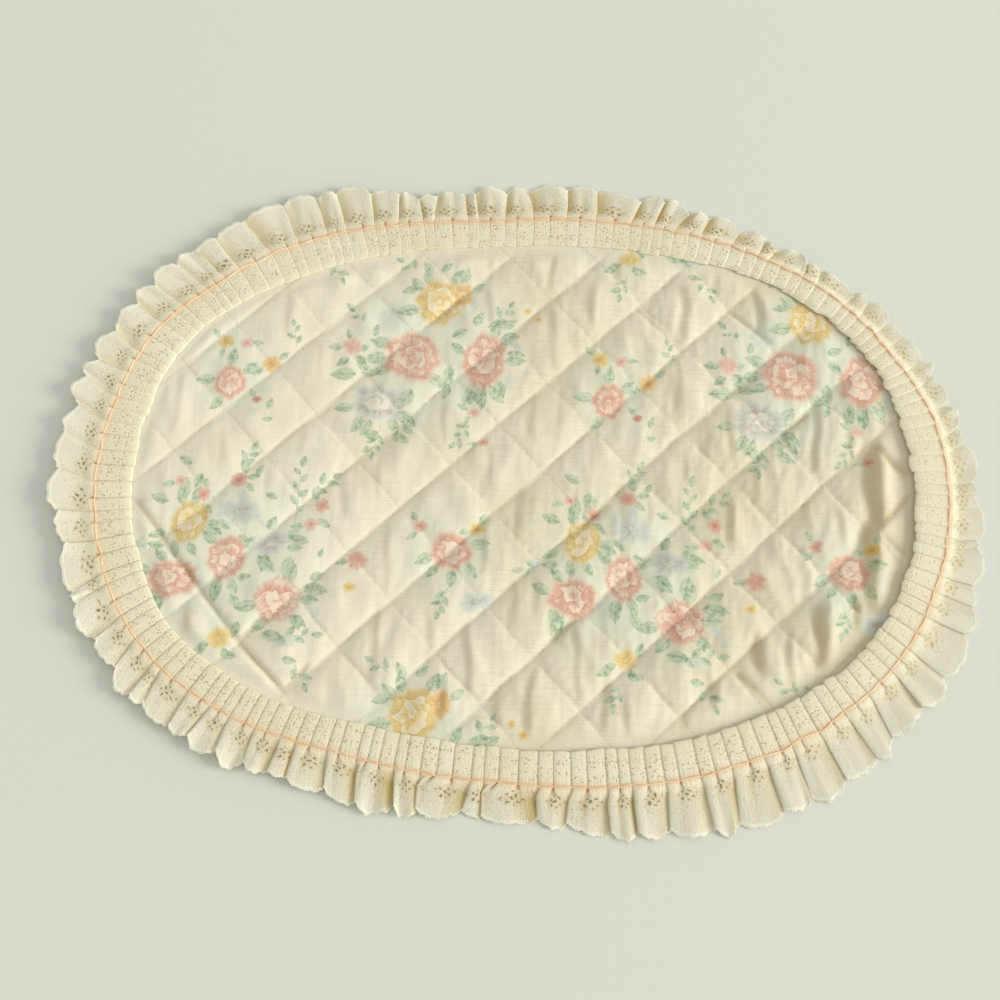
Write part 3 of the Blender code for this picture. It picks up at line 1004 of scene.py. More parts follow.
# One lobe's spray of eyelets: how far along it and outwards of the thread each lies, and its radius,
# all in millimetres.
EYELETS = (
    (0.3, 7.2, 0.76), (-1.6, 5.6, 0.60), (2.2, 5.9, 0.64), (-2.4, 8.6, 0.54), (2.0, 9.4, 0.66),
    (-0.5, 10.4, 0.48), (4.2, 7.4, 0.44), (-4.4, 6.8, 0.42), (0.0, 4.2, 0.40),
)


@dataclass(frozen=True)
class EyeletLace:
    """Sheer ivory cotton lace: sprays of eyelets, painted ochre shade in its folds, peach by the
    thread.

    The material reads the lace's own UV map, which counts scallops along the strip and centimetres
    outwards of the thread, and two attributes: how near a fold's crease each point lies, which also
    sets how strongly shade and highlight are painted there, and how near the scalloped rim. All its
    lengths are in millimetres.
    """

    ivory: Colour = paint(250, 242, 209)
    aged: Colour = paint(245, 235, 196)
    sheer: Colour = paint(235, 228, 198)
    # Colour of the painted highlight on the lobes' crests.
    crest_highlight: Colour = paint(237, 237, 219)
    stitched: Colour = paint(250, 249, 232)
    shaded: Colour = paint(222, 212, 172)
    # Colour of the painted shade in the folds and round each eyelet.
    fold: Colour = paint(198, 172, 100)
    # Colour of the painted shade along the header's creases.
    crease: Colour = paint(168, 132, 80)
    # Painted shade inside the holes, and its lighter, lit copy towards the right.
    hole: Colour = paint(132, 112, 58)
    lit_hole: Colour = paint(208, 176, 108)
    peach: Colour = paint(243, 209, 164)
    rust: Colour = paint(204, 130, 72)
    scallop: float = 16.0
    thread_pitch: float = 0.5
    seam_inside: float = 12.6
    mottled_strength: float = 0.26
    crest_highlight_strength: float = 0.40
    stitched_strength: float = 0.65
    eyelet_shade: float = 0.24
    crease_shade_strength: float = 0.80
    peach_strength: float = 0.70
    eyelet_hole_shade: float = 0.80
    speck_hole_shade: float = 0.56
    hole_light_strength: float = 0.9
    relief_depth: float = 0.14 * MM
    roughness: float = 0.9
    sheen: float = 0.1
    glow: float = 0.25
    glow_reach: float = 1.5 * MM
    glow_colour: Colour = (1.0, 0.9, 0.65)

    def eyelets(self, graph: Graph, along: Wire, outward: Wire) -> Wire:
        """Wire the distance to the nearest eyelet's edge.

        Args:
            graph: The material's graph.
            along: The place along the lobe.
            outward: The place outwards of the thread.

        Returns:
            The distance, below 0 within an eyelet.
        """
        nearest: Put = 9.0
        for middle, out, radius in EYELETS:
            gap = graph.vector("DISTANCE", graph.join(along, outward), (middle, out, 0.0))
            nearest = graph.math("MINIMUM", nearest, gap - radius)
        return nearest

    def specks(self, graph: Graph, cloth_place: Wire, outward: Wire) -> Wire:
        """Wire the header's small embroidered holes, in ragged clumps, and fewer in the ruffle.

        Args:
            graph: The material's graph.
            cloth_place: The place along and across the strip.
            outward: The place outwards of the thread.

        Returns:
            How much of a hole shows, from 0 to 1.
        """
        cells = graph.cells(cloth_place, 0.62)
        size = graph.split(cells["Color"])[0] * 0.33 + 0.02
        dot = graph.step(cells["Distance"] - size, 0.06, -0.06)
        clumps = graph.step(graph.noise(cloth_place, 0.20), 0.41, 0.54)
        header = graph.step(outward, -1.2, -3.0) * graph.step(outward, -17.5, -14.0)
        ruffle = graph.step(outward, 2.0, 5.0) * graph.step(outward, 21.0, 13.0)
        return dot * (clumps * (ruffle * 0.5 + header))

    def stained(self, graph: Graph, cloth: Wire, cloth_place: Wire, crease: Wire) -> Wire:
        """Wire the peach that has run from the thread, and the rust in the creases beside it.

        Args:
            graph: The material's graph.
            cloth: The lace's colour.
            cloth_place: The place along and across the strip.
            crease: How near a fold's crease it lies.

        Returns:
            The stained lace's colour.
        """
        outward = graph.split(cloth_place)[1]
        from_thread = abs(outward)
        stain = graph.noise(cloth_place * (0.12, 0.5, 1.0), 1.0)
        near = graph.step(from_thread - stain * 3.0, 1.6, -1.0)
        cloth = graph.blend(near * self.peach_strength, cloth, self.peach)
        inside = graph.step(outward, -13.0, -1.0) * graph.step(outward, 1.0, 0.0)
        reach = graph.math("MAXIMUM", graph.step(from_thread, 5.5, 0.6), inside)
        bleed = reach * graph.step(crease, 0.20, 0.85) * (stain * 2.8 - 0.5)
        return graph.blend(bleed, cloth, self.rust)

    def relief(self, graph: Graph, cloth_place: Wire, worked: Wire, mottled: Wire) -> Wire:
        """Wire the height of the weave, the gathers by the thread, the stitched rim and the seam.

        Args:
            graph: The material's graph.
            cloth_place: The place along and across the strip.
            worked: Where rim and eyelets are stitched.
            mottled: Where the cloth is thicker.

        Returns:
            The height, as a share of relief_depth.
        """
        turns = 2.0 * math.pi / self.thread_pitch
        strip, outward, _ = graph.split(cloth_place)
        threads = graph.math("SINE", strip * turns) * graph.math("SINE", outward * turns)
        gathers = graph.noise(cloth_place * (1.1, 0.12, 1.0), 1.0)
        gathered = graph.step(abs(outward), 9.0, 0.0) * 2.6 + 2.0
        seam = graph.step(abs(outward + self.seam_inside), 0.45, 0.1)
        return gathers * gathered + threads * 0.15 + worked * 0.9 + mottled * 0.9 - seam * 1.2

    def make(self) -> bpy.types.Material:
        """Build the material.

        Returns:
            The material.
        """
        material, graph, shader = new_material("ivory_lace", self.roughness, self.sheen)
        place = graph.wires("ShaderNodeTexCoord")["Object"]
        scallops, centimetres, _ = graph.split(graph.wire("ShaderNodeUVMap", uv_map="cloth"))
        crease, rim = (graph.wires("ShaderNodeAttribute", attribute_name=name)["Fac"]
                       for name in ("crease", "rim"))
        outward = centimetres * 10.0
        along = (graph.math("FRACT", scallops) - 0.5) * self.scallop
        cloth_place = graph.join(scallops * self.scallop, outward)
        shift_x, shift_y, _ = graph.split(graph.drift(cloth_place, 0.3, 2.0))
        edge = self.eyelets(graph, along + shift_x, outward + shift_y)
        ruffle = graph.step(outward, 1.0, 8.0)

        cloth = graph.blend(graph.step(graph.noise(place, 22.0, 3.0), 0.35, 0.7), self.ivory, self.aged)
        cloth = graph.blend(ruffle, cloth, self.sheer)
        mottled = graph.step(graph.noise(cloth_place, 1.1, 3.0, 0.7), 0.42, 0.68)
        # Painted highlight on the lobes' crests, away from the creases and the thread.
        padded = graph.step(crease, 0.4, 0.0) * graph.step(outward, 6.0, 14.0)
        worked = graph.math("MAXIMUM", graph.step(edge, 0.55, 0.1) * 0.3, graph.step(rim, 0.91, 0.965))
        lasting = 1.0 - graph.step(outward, 7.0, 24.0) * 0.30
        # Painted ochre shade in the folds, fading towards the scallops.
        shade = graph.step(crease, 0.05, 1.0) * (ruffle * lasting)
        dashes = graph.step(graph.noise(cloth_place * (0.1, 0.7, 1.0), 1.0), 0.3, 0.62) * 0.6 + 0.4
        # Painted shade along the header's creases, in broken dashes.
        line = graph.step(crease, 0.35, 1.0) * graph.step(ruffle, 0.8, 0.0) * dashes
        # Coats: random mottling, a painted highlight on the crests, the stitched rims, painted shade
        # round each eyelet and in the folds, and painted shade along the header's creases.
        cloth = graph.coat(cloth, (mottled, self.mottled_strength, self.shaded),
                           (padded, self.crest_highlight_strength, self.crest_highlight),
                           (worked, self.stitched_strength, self.stitched),
                           (graph.step(edge, 1.5, 0.1), self.eyelet_shade, self.fold),
                           (shade, 1.0, self.fold), (line, self.crease_shade_strength, self.crease))
        cloth = self.stained(graph, cloth, cloth_place, crease)
        # Eyelets and specks are filled with painted shade, made lighter towards the right as painted
        # light.
        holes = graph.math("MAXIMUM", graph.step(edge, 0.16, -0.20) * self.eyelet_hole_shade,
                           self.specks(graph, cloth_place, outward) * self.speck_hole_shade)
        lit = graph.step(graph.split(place)[0], 0.11, 0.22) * self.hole_light_strength
        hole_light_and_shade = graph.blend(lit, self.hole, self.lit_hole)
        graph.put(shader.inputs["Base Color"], graph.blend(holes, cloth, hole_light_and_shade))
        shader.inputs["Subsurface Weight"].default_value = self.glow
        shader.inputs["Subsurface Radius"].default_value = self.glow_colour
        shader.inputs["Subsurface Scale"].default_value = self.glow_reach
        height = self.relief(graph, cloth_place, worked, mottled)
        graph.put(shader.inputs["Normal"], graph.bump(height, self.relief_depth, 0.8))
        return material


@dataclass(frozen=True)
class SpunThread:
    """A spun cotton thread, with fibres along it."""

    name: str
    colour: Colour
    deep: Colour
    roughness: float = 0.7
    sheen: float = 0.25
    fibre_depth: float = 0.08 * MM

    def make(self) -> bpy.types.Material:
        """Build the material.

        Returns:
            The material.
        """
        material, graph, shader = new_material(self.name, self.roughness, self.sheen)
        place = graph.wires("ShaderNodeTexCoord")["Object"]
        patches = graph.step(graph.noise(place, 130.0, 3.0), 0.35, 0.68)
        graph.put(shader.inputs["Base Color"], graph.blend(patches, self.colour, self.deep))
        fibres = graph.noise(place, 5200.0)
        graph.put(shader.inputs["Normal"], graph.bump(fibres, self.fibre_depth, 0.6))
        return material


# MAKING PIECES


def add_piece(name: str, mesh: bpy.types.Mesh, materials: Sequence[bpy.types.Material],
              replaces: Sequence[str] = ()) -> bpy.types.Object:
    """Put a finished mesh in the scene as a piece of the mat.

    Args:
        name: The piece's name.
        mesh: Its mesh, with every point where it lies in the frame.
        materials: Its materials, in the order of the mesh's material indices.
        replaces: The frame's nodes that it stands for.

    Returns:
        The new object.
    """
    piece = add_object(name, mesh)
    mesh.materials.clear()
    for material in materials:
        mesh.materials.append(material)
    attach(piece, BODY)
    if replaces:
        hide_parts(*replaces)
    LOG.info("%s: %d faces", name, len(mesh.polygons))
    return piece


def guide_mesh(name: str, lines: Sequence[Array], closed: bool) -> bpy.types.Mesh:
    """Make a mesh of bare edges.

    Args:
        name: The mesh's name.
        lines: Each line's points, a row each.
        closed: Whether each line's end meets its start.

    Returns:
        The mesh.
    """
    points: list[Sequence[float]] = []
    edges: list[tuple[int, int]] = []
    for line in lines:
        first = len(points)
        points.extend(line.tolist())
        edges.extend((first + step, first + step + 1) for step in range(len(line) - 1))
        if closed:
            edges.append((first + len(line) - 1, first))
    mesh = bpy.data.meshes.new(name)
    mesh.from_pydata(points, edges, [])
    return mesh


class Repeat:
    """A Geometry Nodes tree that lays small shapes along guide lines, and its result as a mesh."""

    def __init__(self, name: str, sizes: dict[str, float]) -> None:
        """Start the tree with a geometry input and one named input for each size.

        Args:
            name: The tree's name.
            sizes: Its sizes, by their inputs' names.
        """
        self.name, self.sizes = name, sizes
        self.tree = bpy.data.node_groups.new(name, "GeometryNodeTree")
        interface = self.tree.interface
        interface.new_socket(name="Guides", in_out="INPUT", socket_type="NodeSocketGeometry")
        for size in sizes:
            interface.new_socket(name=size, in_out="INPUT", socket_type="NodeSocketFloat")
        interface.new_socket(name="Geometry", in_out="OUTPUT", socket_type="NodeSocketGeometry")
        self.graph = Graph(self.tree)
        self.inputs = self.graph.wires("NodeGroupInput")
        self.line = self.graph.wire("GeometryNodeMeshToCurve", self.inputs["Guides"])

    def beads(self, pitch: Wire, size: Wire, segments: int, rings: int) -> Wire:
        """Lay a small round bead at every pitch along the lines.

        Args:
            pitch: The distance from bead to bead.
            size: The bead's half sizes, along, across and above the line.
            segments: How many segments it has.
            rings: How many rings it has.

        Returns:
            The beads' geometry, as instances.
        """
        graph = self.graph
        points = graph.wire("GeometryNodeResampleCurve", self.line, mode="LENGTH",
                            named={"Length": pitch})
        bead = graph.wire("GeometryNodeMeshUVSphere", segments, rings, 1.0)
        bead = graph.wire("GeometryNodeTransform", bead, named={"Scale": size})
        facing = graph.wire("FunctionNodeAlignRotationToVector", axis="X",
                            named={"Vector": graph.wire("GeometryNodeInputTangent")})
        return graph.wire("GeometryNodeInstanceOnPoints", points,
                          named={"Instance": bead, "Rotation": facing})

    def tube(self, radius: Wire, sides: int) -> Wire:
        """Run a round tube along the lines."""
        ring = self.graph.wire("GeometryNodeCurvePrimitiveCircle", sides, named={"Radius": radius})
        return self.graph.wire("GeometryNodeCurveToMesh", self.line, named={"Profile Curve": ring})

    def finish(self, shapes: Sequence[Wire], guides: bpy.types.Mesh,
               material: bpy.types.Material) -> bpy.types.Mesh:
        """End the tree, run it on the guides and keep the result.

        Args:
            shapes: The geometries to join.
            guides: The lines that they follow.
            material: What they are made of.

        Returns:
            A plain mesh.
        """
        graph = self.graph
        joined = graph.node("GeometryNodeJoinGeometry")
        for shape in shapes:
            graph.put(joined.inputs[0], shape)
        real = graph.wire("GeometryNodeRealizeInstances", Wire(graph, joined.outputs[0]))
        smooth = graph.wire("GeometryNodeSetShadeSmooth", real)
        done = graph.wire("GeometryNodeSetMaterial", smooth, named={"Material": material})
        graph.put(graph.node("NodeGroupOutput").inputs[0], done)
        carrier = add_object(self.name, guides)
        modifier = carrier.modifiers.new(self.name, "NODES")
        modifier.node_group = self.tree
        for item in self.tree.interface.items_tree:
            if item.in_out == "INPUT" and item.name in self.sizes:
                modifier[item.identifier] = self.sizes[item.name]
        view = bpy.context.evaluated_depsgraph_get()
        mesh = bpy.data.meshes.new_from_object(carrier.evaluated_get(view))
        bpy.data.objects.remove(carrier, do_unlink=True)
        return mesh


# THE PADDED PANEL


# Each larger fold: its x, the y of its two ends, its width and its rise, in millimetres from the
# oval's middle.
PUCKERS = (
    (-41, 138, 116, 2.2, 0.45), (-22, 138, 118, 1.8, 0.45), (-21, 115, 90, 2.4, 0.50),
    (1, 138, 122, 2.2, 0.35), (14, 138, 114, 2.4, 0.80), (27, 141, 130, 2.2, 0.35),
    (15, 105, 64, 2.8, 0.60), (36, 120, 92, 2.6, 0.60), (51, 138, 122, 2.6, 0.85),
    (70, 138, 128, 2.4, 0.40), (89, 122, 86, 3.4, 0.90), (108, 133, 112, 2.4, 0.60),
    (131, 122, 92, 3.0, 0.95), (61, 92, 70, 2.4, 0.35), (85, 76, 36, 2.4, 0.55), (5, 50, 22, 3.0, 0.60),
    (20, 50, 30, 2.2, 0.40), (-43, 46, 18, 2.4, 0.50), (-17, 22, -4, 2.6, 0.55), (-2, 18, 0, 2.2, 0.30),
    (0, -3, -30, 2.8, 0.65), (51, 40, 20, 2.4, 0.45), (38, 24, 4, 3.0, 0.30), (54, 0, -22, 2.8, 0.55),
    (113, 46, 14, 2.8, 0.75), (100, 32, 18, 2.4, 0.40), (88, 16, 0, 2.2, 0.30),
    (126, 12, -10, 2.6, 0.70), (141, 16, 2, 2.0, 0.60), (160, 52, 10, 2.8, 1.05),
    (178, 38, 20, 2.4, 0.60), (190, 28, -22, 5.5, 4.20), (186, -18, -68, 5.5, 3.80),
    (170, -8, -32, 2.8, 0.60), (153, -4, -26, 2.8, 0.40), (112, -6, -36, 3.0, 0.80),
    (133, -28, -48, 3.0, 0.35), (150, -34, -62, 3.2, 0.60), (158, -62, -98, 4.2, 2.60),
    (177, -58, -78, 3.2, 1.60), (126, -80, -101, 3.4, 1.80), (141, -82, -108, 2.4, 0.85),
    (101, -103, -120, 3.2, 1.10), (88, -120, -134, 2.6, 0.90), (-72, -74, -113, 2.8, 0.95),
    (-69, -30, -66, 2.6, 0.60), (-24, -80, -118, 2.6, 1.05), (-45, -74, -100, 2.6, 0.55),
    (-36, -112, -136, 3.0, 1.15), (-8, -114, -137, 3.0, 0.85), (8, -104, -139, 3.0, 1.20),
    (-2, -56, -82, 2.6, 0.70), (10, -54, -77, 2.6, 0.80), (32, -78, -119, 2.8, 1.05),
    (47, -106, -136, 3.0, 1.25), (58, -116, -138, 2.4, 0.90), (-18, -24, -56, 2.4, 0.60),
    (-1, -20, -36, 2.4, 0.45), (58, -18, -36, 2.6, 0.50), (-190, 56, 18, 2.6, 0.45),
    (-192, 0, -36, 2.6, 0.45), (-162, 24, 2, 2.6, 0.40), (-134, 112, 78, 2.6, 0.50),
    (-114, 76, 54, 2.6, 0.40), (-119, 26, 8, 2.6, 0.40), (-95, 6, -26, 2.6, 0.50),
    (-77, 12, -16, 2.4, 0.45), (-135, 2, -20, 2.6, 0.50), (-171, -74, -96, 3.0, 0.95),
)

# Each groove: the x and y of its two ends, its width and its depth, measured in the same way.
GROOVES = (
    (-207, -18, -143, -95, 1.6, 1.3), (-143, -95, -117, -120, 1.6, 1.5), (190, 28, 208, 10, 3.0, 2.4),
    (192, -24, 204, -34, 2.0, 1.2), (193, -17, 209, 0, 2.2, 1.4), (112, -100, 133, -119, 1.8, 1.1),
    (-142, -93, -131, -80, 1.7, 1.2), (-117, -118, -106, -105, 1.8, 1.3), (-52, 94, -37, 109, 1.7, 1.1),
    (140, 31, 156, 45, 2.0, 1.3), (114, 54, 127, 63, 2.0, 1.0), (18, -89, 30, -75, 2.0, 1.3),
    (33, -26, 44, -14, 2.0, 1.0), (-28, -32, -17, -23, 1.6, 0.8), (60, 106, 87, 79, 1.4, 0.7),
    (112, 106, 137, 86, 1.4, 0.9),
)


@dataclass(frozen=True)
class QuiltedPanel:
    """The printed cotton over its batting, quilted in diamonds and pressed flat round its rim."""

    cells: int = 30
    edge_inset: float = 1.0 * MM
    rim_height: float = 2.0 * MM
    channel_height: float = 1.7 * MM
    puff_height: float = 3.3 * MM
    puff_fullness: float = 0.56
    cross_depth: float = 0.34
    cross_depth_at_rim: float = 0.85
    puff_unevenness: float = 0.28
    puff_starts: float = 1.5 * MM
    puff_full_at: float = 12.0 * MM
    valley_per_lift: float = 3.0
    pucker_height: float = 0.38 * MM
    fold_depth: float = 0.43
    fold_width: float = 0.80
    pucker_pitch: float = 12.0 * MM
    pucker_seed: int = 7
    most_diamonds: int = 20
    cockle_height: float = 0.13 * MM
    swell_height: float = 0.35 * MM
    lowest_puff: float = 0.9 * MM
    underside: float = 0.1 * MM
    sharp_angle: float = math.radians(70.0)
    stitch_pitch: float = 3.3 * MM
    stitch_length: float = 2.3 * MM
    stitch_thickness: float = 0.28 * MM

    def chances(self, seed: int, count: int, u: Array, v: Array) -> Array:
        """Chance values that are alike all over each diamond.

        Args:
            seed: Picks the values.
            count: How many each diamond has.
            u: Places counted across one family of sewn lines.
            v: Places counted across the other.

        Returns:
            The values, from 0 to 1, a row for each of count.
        """
        side = 2 * self.most_diamonds
        values = np.random.default_rng(seed).random((count, side, side))
        row, column = (np.floor(way).astype(int) + self.most_diamonds for way in (u, v))
        return values[:, row, column]

    def puckers(self, x: Array, y: Array, u: Array, v: Array) -> Array:
        """Upright ridges in each diamond, shifted, leaning and spaced a little differently.

        Args:
            x: Places along the mat.
            y: Places across the mat.
            u: The same places across one family of sewn lines.
            v: And across the other.

        Returns:
            Their rise, as a share of pucker_height.
        """
        shift, lean, spread = self.chances(self.pucker_seed, 3, u, v)
        drift = 1.6 * MM * ripple(x, y, 17.0 * MM, self.pucker_seed + 1)
        pitch = self.pucker_pitch * (0.85 + 0.5 * spread)
        wave = np.cos(2.0 * math.pi * ((x + drift + 0.7 * (lean - 0.5) * y) / pitch + shift))
        return (0.5 + 0.5 * wave) ** 1.5 - 0.35

    def folds(self, x: Array, y: Array) -> tuple[Array, Array]:
        """The larger folds of PUCKERS, steep to the left, and the deep GROOVES along the sewn lines.

        Args:
            x: Places along the mat.
            y: Places across the mat.

        Returns:
            How much they raise the cloth, and how deep each place lies in a fold, from 0 to 1, which
            sets the painted shade there.
        """
        chance = np.random.default_rng(self.pucker_seed + 5)
        x, y = x - OVAL.middle[0], y - OVAL.middle[1]
        raised, hollow_shade = np.zeros_like(x), np.zeros_like(x)
        for place, top, bottom, width, rise in np.array(PUCKERS) * MM:
            lean, phase = chance.uniform(-0.09, 0.09), chance.uniform(0.0, 6.3)
            bend = lean * (y - (top + bottom) / 2.0) + 0.7 * MM * np.sin(y / (5.0 * MM) + phase)
            run = (x - place - bend) / (self.fold_width * width)
            ends = between(y, bottom, top, 4.0 * MM, 7.0 * MM)
            depth = self.fold_depth * (0.9 + 0.6 * smooth_step(0.03, 0.16, np.full(1, place))[0])
            raised += depth * rise * run * np.exp(0.5 - 0.5 * run * run) * ends
            # Painted shade in each fold, on its dark side.
            hollow_shade += min(1.0, depth * rise / MM) * np.exp(-0.9 * (run + 0.25) ** 2) * ends
        for from_x, from_y, to_x, to_y, width, depth in np.array(GROOVES) * MM:
            way = np.array((to_x - from_x, to_y - from_y))
            length = float(np.hypot(*way))
            way = way / length
            run = (x - from_x) * way[0] + (y - from_y) * way[1]
            aside = ((x - from_x) * way[1] - (y - from_y) * way[0]) / width
            ends = between(run, 0.0, length, 3.0 * MM, 4.0 * MM)
            raised -= depth * np.exp(-aside * aside) * ends
            # Painted shade in each groove.
            hollow_shade += min(1.0, 0.6 * depth / MM) * np.exp(-1.6 * aside * aside) * ends
        return raised, np.minimum(hollow_shade, 1.0)

    def height(self, x: Array, y: Array) -> Array:
        """Height of the printed side over the table.

        Args:
            x: Places along the mat.
            y: Places across the mat.

        Returns:
            Heights in metres: sewn channels, puffed and puckered diamonds, and a pressed rim.
        """
        u, v = DIAMONDS.measure(x, y)
        depth, direction = OVAL.inside(x, y)
        past_header = depth - OVAL.edge("header", direction) * MM
        drift = 0.018 * ripple(x, y, 30.0 * MM, 41)
        across, along = np.abs(np.sin(math.pi * (v - drift))), np.abs(np.sin(math.pi * (u + drift)))
        near = smooth_step(48.0 * MM, 14.0 * MM, past_header)
        near = near * smooth_step(0.35, -0.25, y / OVAL.half_width)
        near = np.maximum(near, 0.75 * smooth_step(0.05, 0.65, x / OVAL.half_length))
        cut = self.cross_depth + (self.cross_depth_at_rim - self.cross_depth) * near
        puff = across ** self.puff_fullness * (1.0 - cut * (1.0 - along ** 0.42))
        to_right = x / OVAL.half_length
        to_top = y / OVAL.half_width
        filled = self.chances(self.pucker_seed + 3, 1, u, v)[0]
        fuller = 0.92 + 0.26 * to_right - 0.14 * to_top + self.puff_unevenness * (filled - 0.5)
        strength = np.clip(0.72 + 0.74 * to_right - 0.20 * to_top * (1.0 - to_right), 0.25, 1.6)
        pucker = self.puckers(x, y, u, v) * strength * self.pucker_height
        cockle = self.cockle_height * strength * ripple(x * 1.6, y, 7.5 * MM, 17) * (1.0 - 0.6 * puff)
        folds = self.folds(x, y)[0]
        padded = (self.channel_height + puff * self.puff_height * fuller + puff ** 0.7 * pucker
                  + folds + np.minimum(puff * 3.0, 1.0) * cockle
                  + puff * self.swell_height * ripple(x, y, 22.0 * MM, 3))
        valley = self.valley_per_lift * OVAL.edge("lift", direction) * MM
        full_at = self.puff_full_at * (1.0 - 0.45 * np.clip(-to_right, 0.0, 1.0)) + valley
        free = smooth_step(0.0, 1.0, (past_header - self.puff_starts) / full_at)
        edge = smooth_step(-0.5 * MM, 4.0 * MM, depth)
        pressed = self.rim_height * (0.8 + 0.2 * edge)
        return pressed * (1.0 - free) + np.maximum(padded, self.lowest_puff) * free

    def grid(self) -> tuple[Array, list[tuple[int, ...]]]:
        """Lay square cells along the quilting lines, as far as the panel's edge.

        Returns:
            The points, with their heights, and the faces.
        """
        reach = 8 * self.cells
        steps = np.arange(-reach, reach + 1) / self.cells
        u, v = np.meshgrid(steps, steps, indexing="ij")
        x, y = DIAMONDS.place(u, v)
        middle_x = (x[:-1, :-1] + x[1:, 1:]) / 2.0
        middle_y = (y[:-1, :-1] + y[1:, 1:]) / 2.0
        depth, _ = OVAL.inside(middle_x, middle_y)
        rows, columns = np.nonzero(depth > self.edge_inset)
        across = len(steps)
        first = rows * across + columns
        faces = np.stack((first, first + 1, first + across + 1, first + across), axis=1)
        used, renumbered = np.unique(faces, return_inverse=True)
        faces = renumbered.reshape(-1, 4)
        x, y = x.ravel()[used], y.ravel()[used]
        pairs = np.sort(np.stack((faces, np.roll(faces, -1, axis=1)), axis=-1).reshape(-1, 2), axis=1)
        sides, counts = np.unique(pairs, axis=0, return_counts=True)
        rim = np.unique(sides[counts == 1])
        depth, _ = OVAL.inside(x[rim], y[rim])
        slope_x, slope_y = OVAL.slope(x[rim] - OVAL.middle[0], y[rim] - OVAL.middle[1])
        out = (depth - self.edge_inset) / np.hypot(slope_x, slope_y)
        x[rim] += out * slope_x
        y[rim] += out * slope_y
        points = np.stack((x, y, self.height(x, y)), axis=1)
        return points, [tuple(face) for face in faces.tolist()]

    def mesh(self) -> bpy.types.Mesh:
        """Build the closed pad: the printed side, its wall, and the flat side below.

        Returns:
            Its mesh, with wall and flat side in the second material.
        """
        points, faces = self.grid()
        mesh = bpy.data.meshes.new("quilted_cloth")
        mesh.from_pydata(points.tolist(), [], faces)
        pad = bmesh.new()
        pad.from_mesh(mesh)
        bmesh.ops.recalc_face_normals(pad, faces=pad.faces[:])
        if sum(face.normal.z for face in pad.faces) < 0.0:
            bmesh.ops.reverse_faces(pad, faces=pad.faces[:])
        top_rim = [edge for edge in pad.edges if edge.is_boundary]
        wall = bmesh.ops.extrude_edge_only(pad, edges=top_rim)["geom"]
        for part in wall:
            if isinstance(part, bmesh.types.BMVert):
                part.co.z = self.underside
        below = bmesh.ops.holes_fill(pad, edges=[edge for edge in pad.edges if edge.is_boundary],
                                     sides=0)["faces"]
        bmesh.ops.recalc_face_normals(pad, faces=pad.faces[:])
        plain = {part for part in wall if isinstance(part, bmesh.types.BMFace)} | set(below)
        for face in pad.faces:
            face.smooth = True
            face.material_index = 1 if face in plain else 0
        pad.to_mesh(mesh)
        pad.free()
        mesh.set_sharp_from_angle(angle=self.sharp_angle)
        x, y, _ = read(mesh.vertices, "co", 3).T
        # Keep the painted shade of the folds and grooves for the printed cotton.
        keep(mesh, "hollow_shade", self.folds(x, y)[1])
        return mesh

    def quilting_lines(self) -> list[Array]:
        """The sewn lines, as far as the header, each a row of points on the cloth.

        Returns:
            The lines.
        """
        lines = []
        run = np.arange(-8.0, 8.0, 0.05)
        for number in range(-8, 9):
            for u, v in ((np.full_like(run, number), run), (run, np.full_like(run, number))):
                x, y = DIAMONDS.place(u, v)
                depth, direction = OVAL.inside(x, y)
                sewn = depth > OVAL.edge("header", direction) * MM
                if sewn.sum() > 8:
                    x, y = x[sewn], y[sewn]
                    z = self.height(x, y) + self.stitch_thickness * 0.1
                    lines.append(np.stack((x, y, z), axis=1))
        return lines

    def stitches(self, material: bpy.types.Material) -> bpy.types.Mesh:
        """Sew small stitches along the quilting lines.

        Args:
            material: What they are made of.

        Returns:
            Their mesh.
        """
        sewing = Repeat("quilting_stitches", {
            "Stitch Pitch": self.stitch_pitch, "Stitch Length": self.stitch_length,
            "Stitch Thickness": self.stitch_thickness})
        sizes = sewing.inputs
        half = sewing.graph.join(sizes["Stitch Length"] * 0.5, sizes["Stitch Thickness"] * 0.6,
                                 sizes["Stitch Thickness"] * 0.5)
        beads = sewing.beads(sizes["Stitch Pitch"], half, 6, 5)
        return sewing.finish([beads], guide_mesh("quilting_lines", self.quilting_lines(), False),
                             material)

    def build(self) -> None:
        """Make the panel and its stitches, print it and put both on the mat."""
        mesh = self.mesh()
        FloralPrint().lay(mesh)
        backing = PlainCotton().make()
        cloth = add_piece("quilted_cloth", mesh, (PrintedCotton().make(), backing),
                          ("quilted_panel",))
        thread = SpunThread("quilting_thread", paint(238, 232, 208), paint(222, 212, 182)).make()
        add_piece("quilting_stitches", self.stitches(thread), (thread,))


# THE LACE


